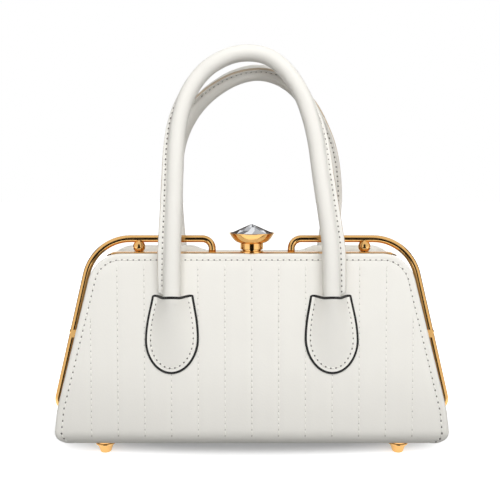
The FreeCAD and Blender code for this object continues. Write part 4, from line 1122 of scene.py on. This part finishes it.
class PURSE_OT_stitches(bpy.types.Operator):
    """Sews the edge rows, the upright lines, the tabs and the handle seams"""
    bl_idname = "purse.stitches"
    bl_label = "Stitches"

    edge_low = 9.0          # edge rows end this far past the start of the roll
    line_top, line_low = 5.0, 3.5       # upright lines, below the top edge and past the roll's start
    line_clear = 2.6        # they stay this far from the edge row
    tab_pitch, tab_inset = 3.4, 3.0
    tab_left, tab_right = 2.3, 4.0      # rows start this far below the tab's corners
    tab_least = 0.1         # least leather beside a stitch
    seam_pitch, seam_end = 3.5, 2.0     # seams start this far from the tip axis
    seam_out = 0.75         # seam's stitches stand this far out of the round leather
    seam_proud = 0.14       # and out of the fin's faces

    def execute(self, context):
        scene = context.scene
        pitch = scene.purse_stitch.pitch
        tree = stitch_tree()
        edge = {"Thread length": 2.9, "Thread radius": 0.42, "Hole radius": 0.64,
                "Half pitch": pitch / 2, "Lift": 0.1}
        line = {**edge, "Thread radius": 0.34, "Hole radius": 0.48, "Lift": 0.06}
        tab = {**edge, "Half pitch": self.tab_pitch / 2, "Thread length": 2.4, "Hole radius": 0.55}
        seam = {**edge, "Thread radius": 0.36, "Hole radius": 0.55}
        for side in SIGN:
            skin = Skin(side, scene)
            for kind, row, sizes, hole in (("edge", self.edge_row(skin, pitch), edge, "hole"),
                                           ("line", self.line_rows(skin, pitch), line, "faint hole")):
                piece = stitch_piece(tree, "%s_%s_stitches" % (side, kind), row, sizes, hole)
                finish_piece(piece, "leather")
                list(skin.bend())
                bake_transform(piece)
            tabs = stitch_piece(tree, side + "_tab_stitches", self.tab_rows(side), tab, "hole")
            finish_piece(tabs, "leather")
            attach(tabs, side + "_half")
            row = self.seam_row(side, scene.purse_handle)
            seams = stitch_piece(tree, side + "_handle_stitches", row, seam, "hole")
            finish_piece(seams, "leather")
            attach(seams, side + "_loop")
        return {"FINISHED"}

    def on_skin(self, skin, line):
        """Stitches on the leather for a line of places in x and distance down."""
        found = []
        for k, (x, down) in enumerate(line):
            before, after = neighbours(line, k)
            way = after - before
            along = np.array((way[0], 0, 0)) + skin.way_down(down) * way[1]
            found.append((skin.outside(x, down), along / np.linalg.norm(along), skin.normal(down)))
        return found

    def edge_row(self, skin, pitch):
        """Row from the roll up one side, over the top and down the other."""
        inset = skin.inset / math.cos(EDGE_LEAN)
        reach = TOP_CORNER - skin.inset
        corner = [(FLAT_HALF_WIDTH + reach * math.sin(a), TOP_CORNER - reach * math.cos(a))
                  for a in np.linspace(math.pi / 2 - EDGE_LEAN, 0, 30)]
        downs = np.linspace(skin.roll_start + self.edge_low, CORNER_DROP, 90)
        half = [(skin.half_width(d) - inset, d) for d in downs if d > corner[0][1]] + corner
        line = [(-x, d) for x, d in half] + [(x, d) for x, d in reversed(half)]
        return self.on_skin(skin, even_steps(line, pitch))

    def line_rows(self, skin, pitch):
        """Upright rows, spread evenly to both sides of the middle."""
        rows = []
        sides = skin.leather.line_sides
        downs = np.linspace(self.line_top, skin.roll_start + self.line_low, 220)
        for k in range(-sides, sides + 1):
            line = [(k * skin.line_gap(d), d) for d in downs]
            line = [(x, d) for x, d in line if skin.edge_distance(x, d) > skin.inset + self.line_clear]
            rows += self.on_skin(skin, even_steps(line, pitch))
        return rows

    def tab_rows(self, side):
        """Row round the sides and foot of both tabs."""
        row = []
        for end in ENDS.values():
            tab = Tab(side, end)
            outline = [(across, below) for across, below in tab.inset_rim(self.tab_inset)
                       if below > (self.tab_left if across < 0 else self.tab_right)]
            stops = even_steps(outline, self.tab_pitch)
            for k, (across, below) in enumerate(stops):
                half = max(tab.half_width(below), abs(across) + self.tab_least)
                place = tab.point(across, below, tab.out(across, below, half))
                before, after = neighbours(stops, k)
                along = tab.point(*after, 0) - tab.point(*before, 0)
                row.append((place, along / np.linalg.norm(along), tab.wall.normal(tab.top + below)))
        return row

    def seam_row(self, side, handle):
        """Row through the fin of one handle, on both its faces."""
        loop = Loop(side)
        length = loop.length - 2 * self.seam_end
        count = int(length / self.seam_pitch)
        out = handle.diameter / 2 + self.seam_out
        beside = handle.fin_thickness / 2 + self.seam_proud
        row = []
        for k in range(count):
            place, along, seam, across = loop.frame(self.seam_end + (k + 0.5) * length / count)
            for face in (-across, across):
                row.append((place + seam * out + face * beside, along, face))
        return row


# Frame nodes and stage
class PURSE_OT_dress(bpy.types.Operator):
    """Gives every frame node the finish that goes with its name"""
    bl_idname = "purse.dress"
    bl_label = "Finish the frame's nodes"

    def execute(self, context):
        for name, node in FRAME["nodes"].items():
            node.data.materials.clear()
            node.data.materials.append(FINISH[self.finish_of(name)])
        return {"FINISHED"}

    def finish_of(self, name):
        words = name.split("_")
        if words[-1] in ("lining", "pocket"):
            return "lining"
        if words[-1] == "board":
            return "board"
        fastener = words[-1] in ("screws", "washers", "rivets", "screw")
        if fastener or "bracket" in words or "hinge" in words:
            return "steel"
        if words[-1] in ("foot", "jaw", "base", "knob", "catch") or words[0] in ("bow", "ball", "side"):
            return "gold"
        return "stone" if name == "crystal" else "leather"


class PURSE_OT_stage(bpy.types.Operator):
    """Sets the white floor, the soft lamps, the world and the camera"""
    bl_idname = "purse.stage"
    bl_label = "Stage"

    ambient = 0.29          # light of the world on the purse
    mirrored = 0.95         # brightness of world and floor in the metal
    floor_half = 6.0
    shade_squeeze = (0.35, 1, 1)        # the shade on the floor reaches further to the sides
    floor_tone, bounce_cut = 0.7, 0.35  # floor's tone, and how much less of it lights the purse
    camera_x, camera_shift, sensor = -0.0012, -0.05, 36.0

    def execute(self, context):
        scene = context.scene
        settings = scene.purse_stage
        self.floor()
        self.cards()
        for name, place, aim, size, power in (
                ("Key light", (0.08, -0.75, 0.66), 0.13, 1.1, settings.key),
                ("Left light", (-1.1, -1.1, 0.75), 0.13, 0.9, settings.fill * 0.8),
                ("Right light", (1.2, -0.9, 0.7), 0.13, 0.9, settings.fill),
                ("Back light", (0.0, 1.1, 0.35), 0.10, 1.0, settings.fill * 2.6)):
            self.lamp(name, place, aim, size, power)
        self.world(scene)
        camera = bpy.data.cameras.new("Camera")
        camera.lens = settings.lens
        camera.sensor_width = self.sensor
        camera.shift_y = self.camera_shift
        camera.clip_start = 0.01
        eye = new_object("Camera", camera)
        eye.location = (self.camera_x, -settings.distance, settings.height)
        eye.rotation_euler = (math.pi / 2 - settings.tilt, 0, 0)
        scene.camera = eye
        scene.view_settings.view_transform = "Standard"
        return {"FINISHED"}

    def lamp(self, name, place, aim, size, power):
        """Square lamp that looks at a height above the middle of the floor."""
        light = bpy.data.lights.new(name, "AREA")
        light.size = size
        light.energy = power
        lamp = new_object(name, light)
        lamp.location = place
        lamp.visible_glossy = False
        way = Vector((0, 0, aim)) - Vector(place)
        lamp.rotation_euler = way.to_track_quat("-Z", "Y").to_euler()

    def plain(self, name, corners, material, *hidden):
        """Four-cornered sheet of the stage, hidden from some kinds of rays."""
        mesh = bpy.data.meshes.new(name)
        mesh.from_pydata(corners, [], [(0, 1, 2, 3)])
        mesh.materials.append(material)
        piece = new_object(name, mesh)
        for kind in hidden:
            setattr(piece, "visible_" + kind, False)

    def floor(self):
        """White floor, which glows to the eye all round the purse and keeps its shadow close to it."""
        material, net = new_material("White floor")
        place = net.add("ShaderNodeTexCoord")["Object"]
        squeezed = net.add("ShaderNodeVectorMath", {0: place, 1: self.shade_squeeze}, operation="MULTIPLY")
        apart = net.add("ShaderNodeVectorMath", {0: squeezed["Vector"]}, operation="LENGTH")
        far = net.add("ShaderNodeMapRange", {
            "Value": apart["Value"], "From Min": 0.034, "From Max": 0.07, "To Min": 0.28, "To Max": 1.0},
            interpolation_type="SMOOTHSTEP")
        glow = net.add("ShaderNodeEmission", {
            "Color": (1, 1, 1, 1), "Strength": far["Result"] * self.seen(net)})
        path = net.add("ShaderNodeLightPath")
        tone = self.floor_tone - self.bounce_cut * path["Is Diffuse Ray"]
        grey = net.add("ShaderNodeCombineColor", {0: tone, 1: tone, 2: tone})
        matte = net.add("ShaderNodeBsdfPrincipled", {
            "Base Color": grey["Color"], "Roughness": 1.0, "Specular IOR Level": 0.0})
        both = net.add("ShaderNodeAddShader", {0: glow["Emission"], 1: matte["BSDF"]})
        net.add("ShaderNodeOutputMaterial", {"Surface": both["Shader"]})
        r = self.floor_half
        self.plain("Floor", [(-r, -r, 0), (r, -r, 0), (r, r, 0), (-r, r, 0)], material)

    def seen(self, net):
        """One where a camera or transmission ray looks, a little less for a glossy one."""
        path = net.add("ShaderNodeLightPath")
        direct = path["Is Camera Ray"] + path["Is Transmission Ray"]
        total = direct + self.mirrored * path["Is Glossy Ray"]
        return net.add("ShaderNodeClamp", {"Value": total})["Result"]

    def cards(self):
        """Dark cards that only the metal shows, and a low flag that keeps light off the front's foot."""
        black = plain_material("Dark card", (0.01, 0.01, 0.01), 1.0)
        brown = plain_material("Dim card", (0.10, 0.07, 0.05), 1.0)
        unseen = ("camera", "diffuse", "shadow")
        w, near, far = 0.30, -0.2, -0.80
        self.plain("Front card", self.upright((-w, far), (w, far), 0.0, 0.95), black, *unseen)
        low = [(x, y, 0.002) for x, y in ((-w, far), (w, far), (w, near), (-w, near))]
        self.plain("Low card", low, black, *unseen)
        self.plain("Flag", self.upright((-w, -0.25), (w, -0.25), 0.0, 0.09), black,
                   "camera", "glossy", "transmission")
        self.plain("Back card", self.upright((-0.5, 0.9), (0.5, 0.9), 0.27, 0.7), brown, *unseen)
        for x in (-0.9, 0.9):
            self.plain("Side card", self.upright((x, 0.1), (x, 1.2), 0.0, 0.8), brown, *unseen)

    def upright(self, a, b, low, high):
        """Corners of an upright sheet over two points of the floor."""
        return [(*a, low), (*b, low), (*b, high), (*a, high)]

    def world(self, scene):
        world = bpy.data.worlds.new("Studio")
        world.use_nodes = True
        world.node_tree.nodes.clear()
        net = Net(world.node_tree)
        soft, white = [net.add("ShaderNodeBackground", {"Color": (1, 1, 1, 1), "Strength": strength})
                       for strength in (self.ambient, 1.0)]
        mix = net.add("ShaderNodeMixShader", {
            0: self.seen(net), 1: soft["Background"], 2: white["Background"]})
        net.add("ShaderNodeOutputWorld", {"Surface": mix["Shader"]})
        scene.world = world


class PURSE_PT_panel(bpy.types.Panel):
    bl_idname = "PURSE_PT_panel"
    bl_label = "Frame purse"
    bl_space_type = "VIEW_3D"
    bl_region_type = "UI"
    bl_category = "Purse"

    def draw(self, context):
        for name in SETTINGS:
            group = getattr(context.scene, name)
            box = self.layout.box()
            for key in group.__annotations__:
                box.prop(group, key)
        for step in STEPS:
            self.layout.operator(step.bl_idname)


SETTINGS = {
    "purse_leather": PurseLeather,
    "purse_stitch": PurseStitch,
    "purse_metal": PurseMetal,
    "purse_handle": PurseHandle,
    "purse_stage": PurseStage,
}
STEPS = (PURSE_OT_dress, PURSE_OT_walls, PURSE_OT_gussets, PURSE_OT_tabs, PURSE_OT_handles,
         PURSE_OT_frame, PURSE_OT_knob, PURSE_OT_stitches, PURSE_OT_stage)
CLASSES = (*SETTINGS.values(), *STEPS, PURSE_PT_panel)


def register():
    for kind in CLASSES:
        bpy.utils.register_class(kind)
    for name, group in SETTINGS.items():
        setattr(bpy.types.Scene, name, bpy.props.PointerProperty(type=group))


def unregister():
    for name in SETTINGS:
        delattr(bpy.types.Scene, name)
    for kind in reversed(CLASSES):
        bpy.utils.unregister_class(kind)


def main():
    register()
    make_finishes(bpy.context.scene)
    bpy.ops.purse.dress()
    bpy.ops.purse.walls()
    bpy.ops.purse.gussets()
    bpy.ops.purse.tabs()
    bpy.ops.purse.handles()
    bpy.ops.purse.frame()
    bpy.ops.purse.knob()
    bpy.ops.purse.stitches()
    bpy.ops.purse.stage()


if __name__ == "__main__":
    main()
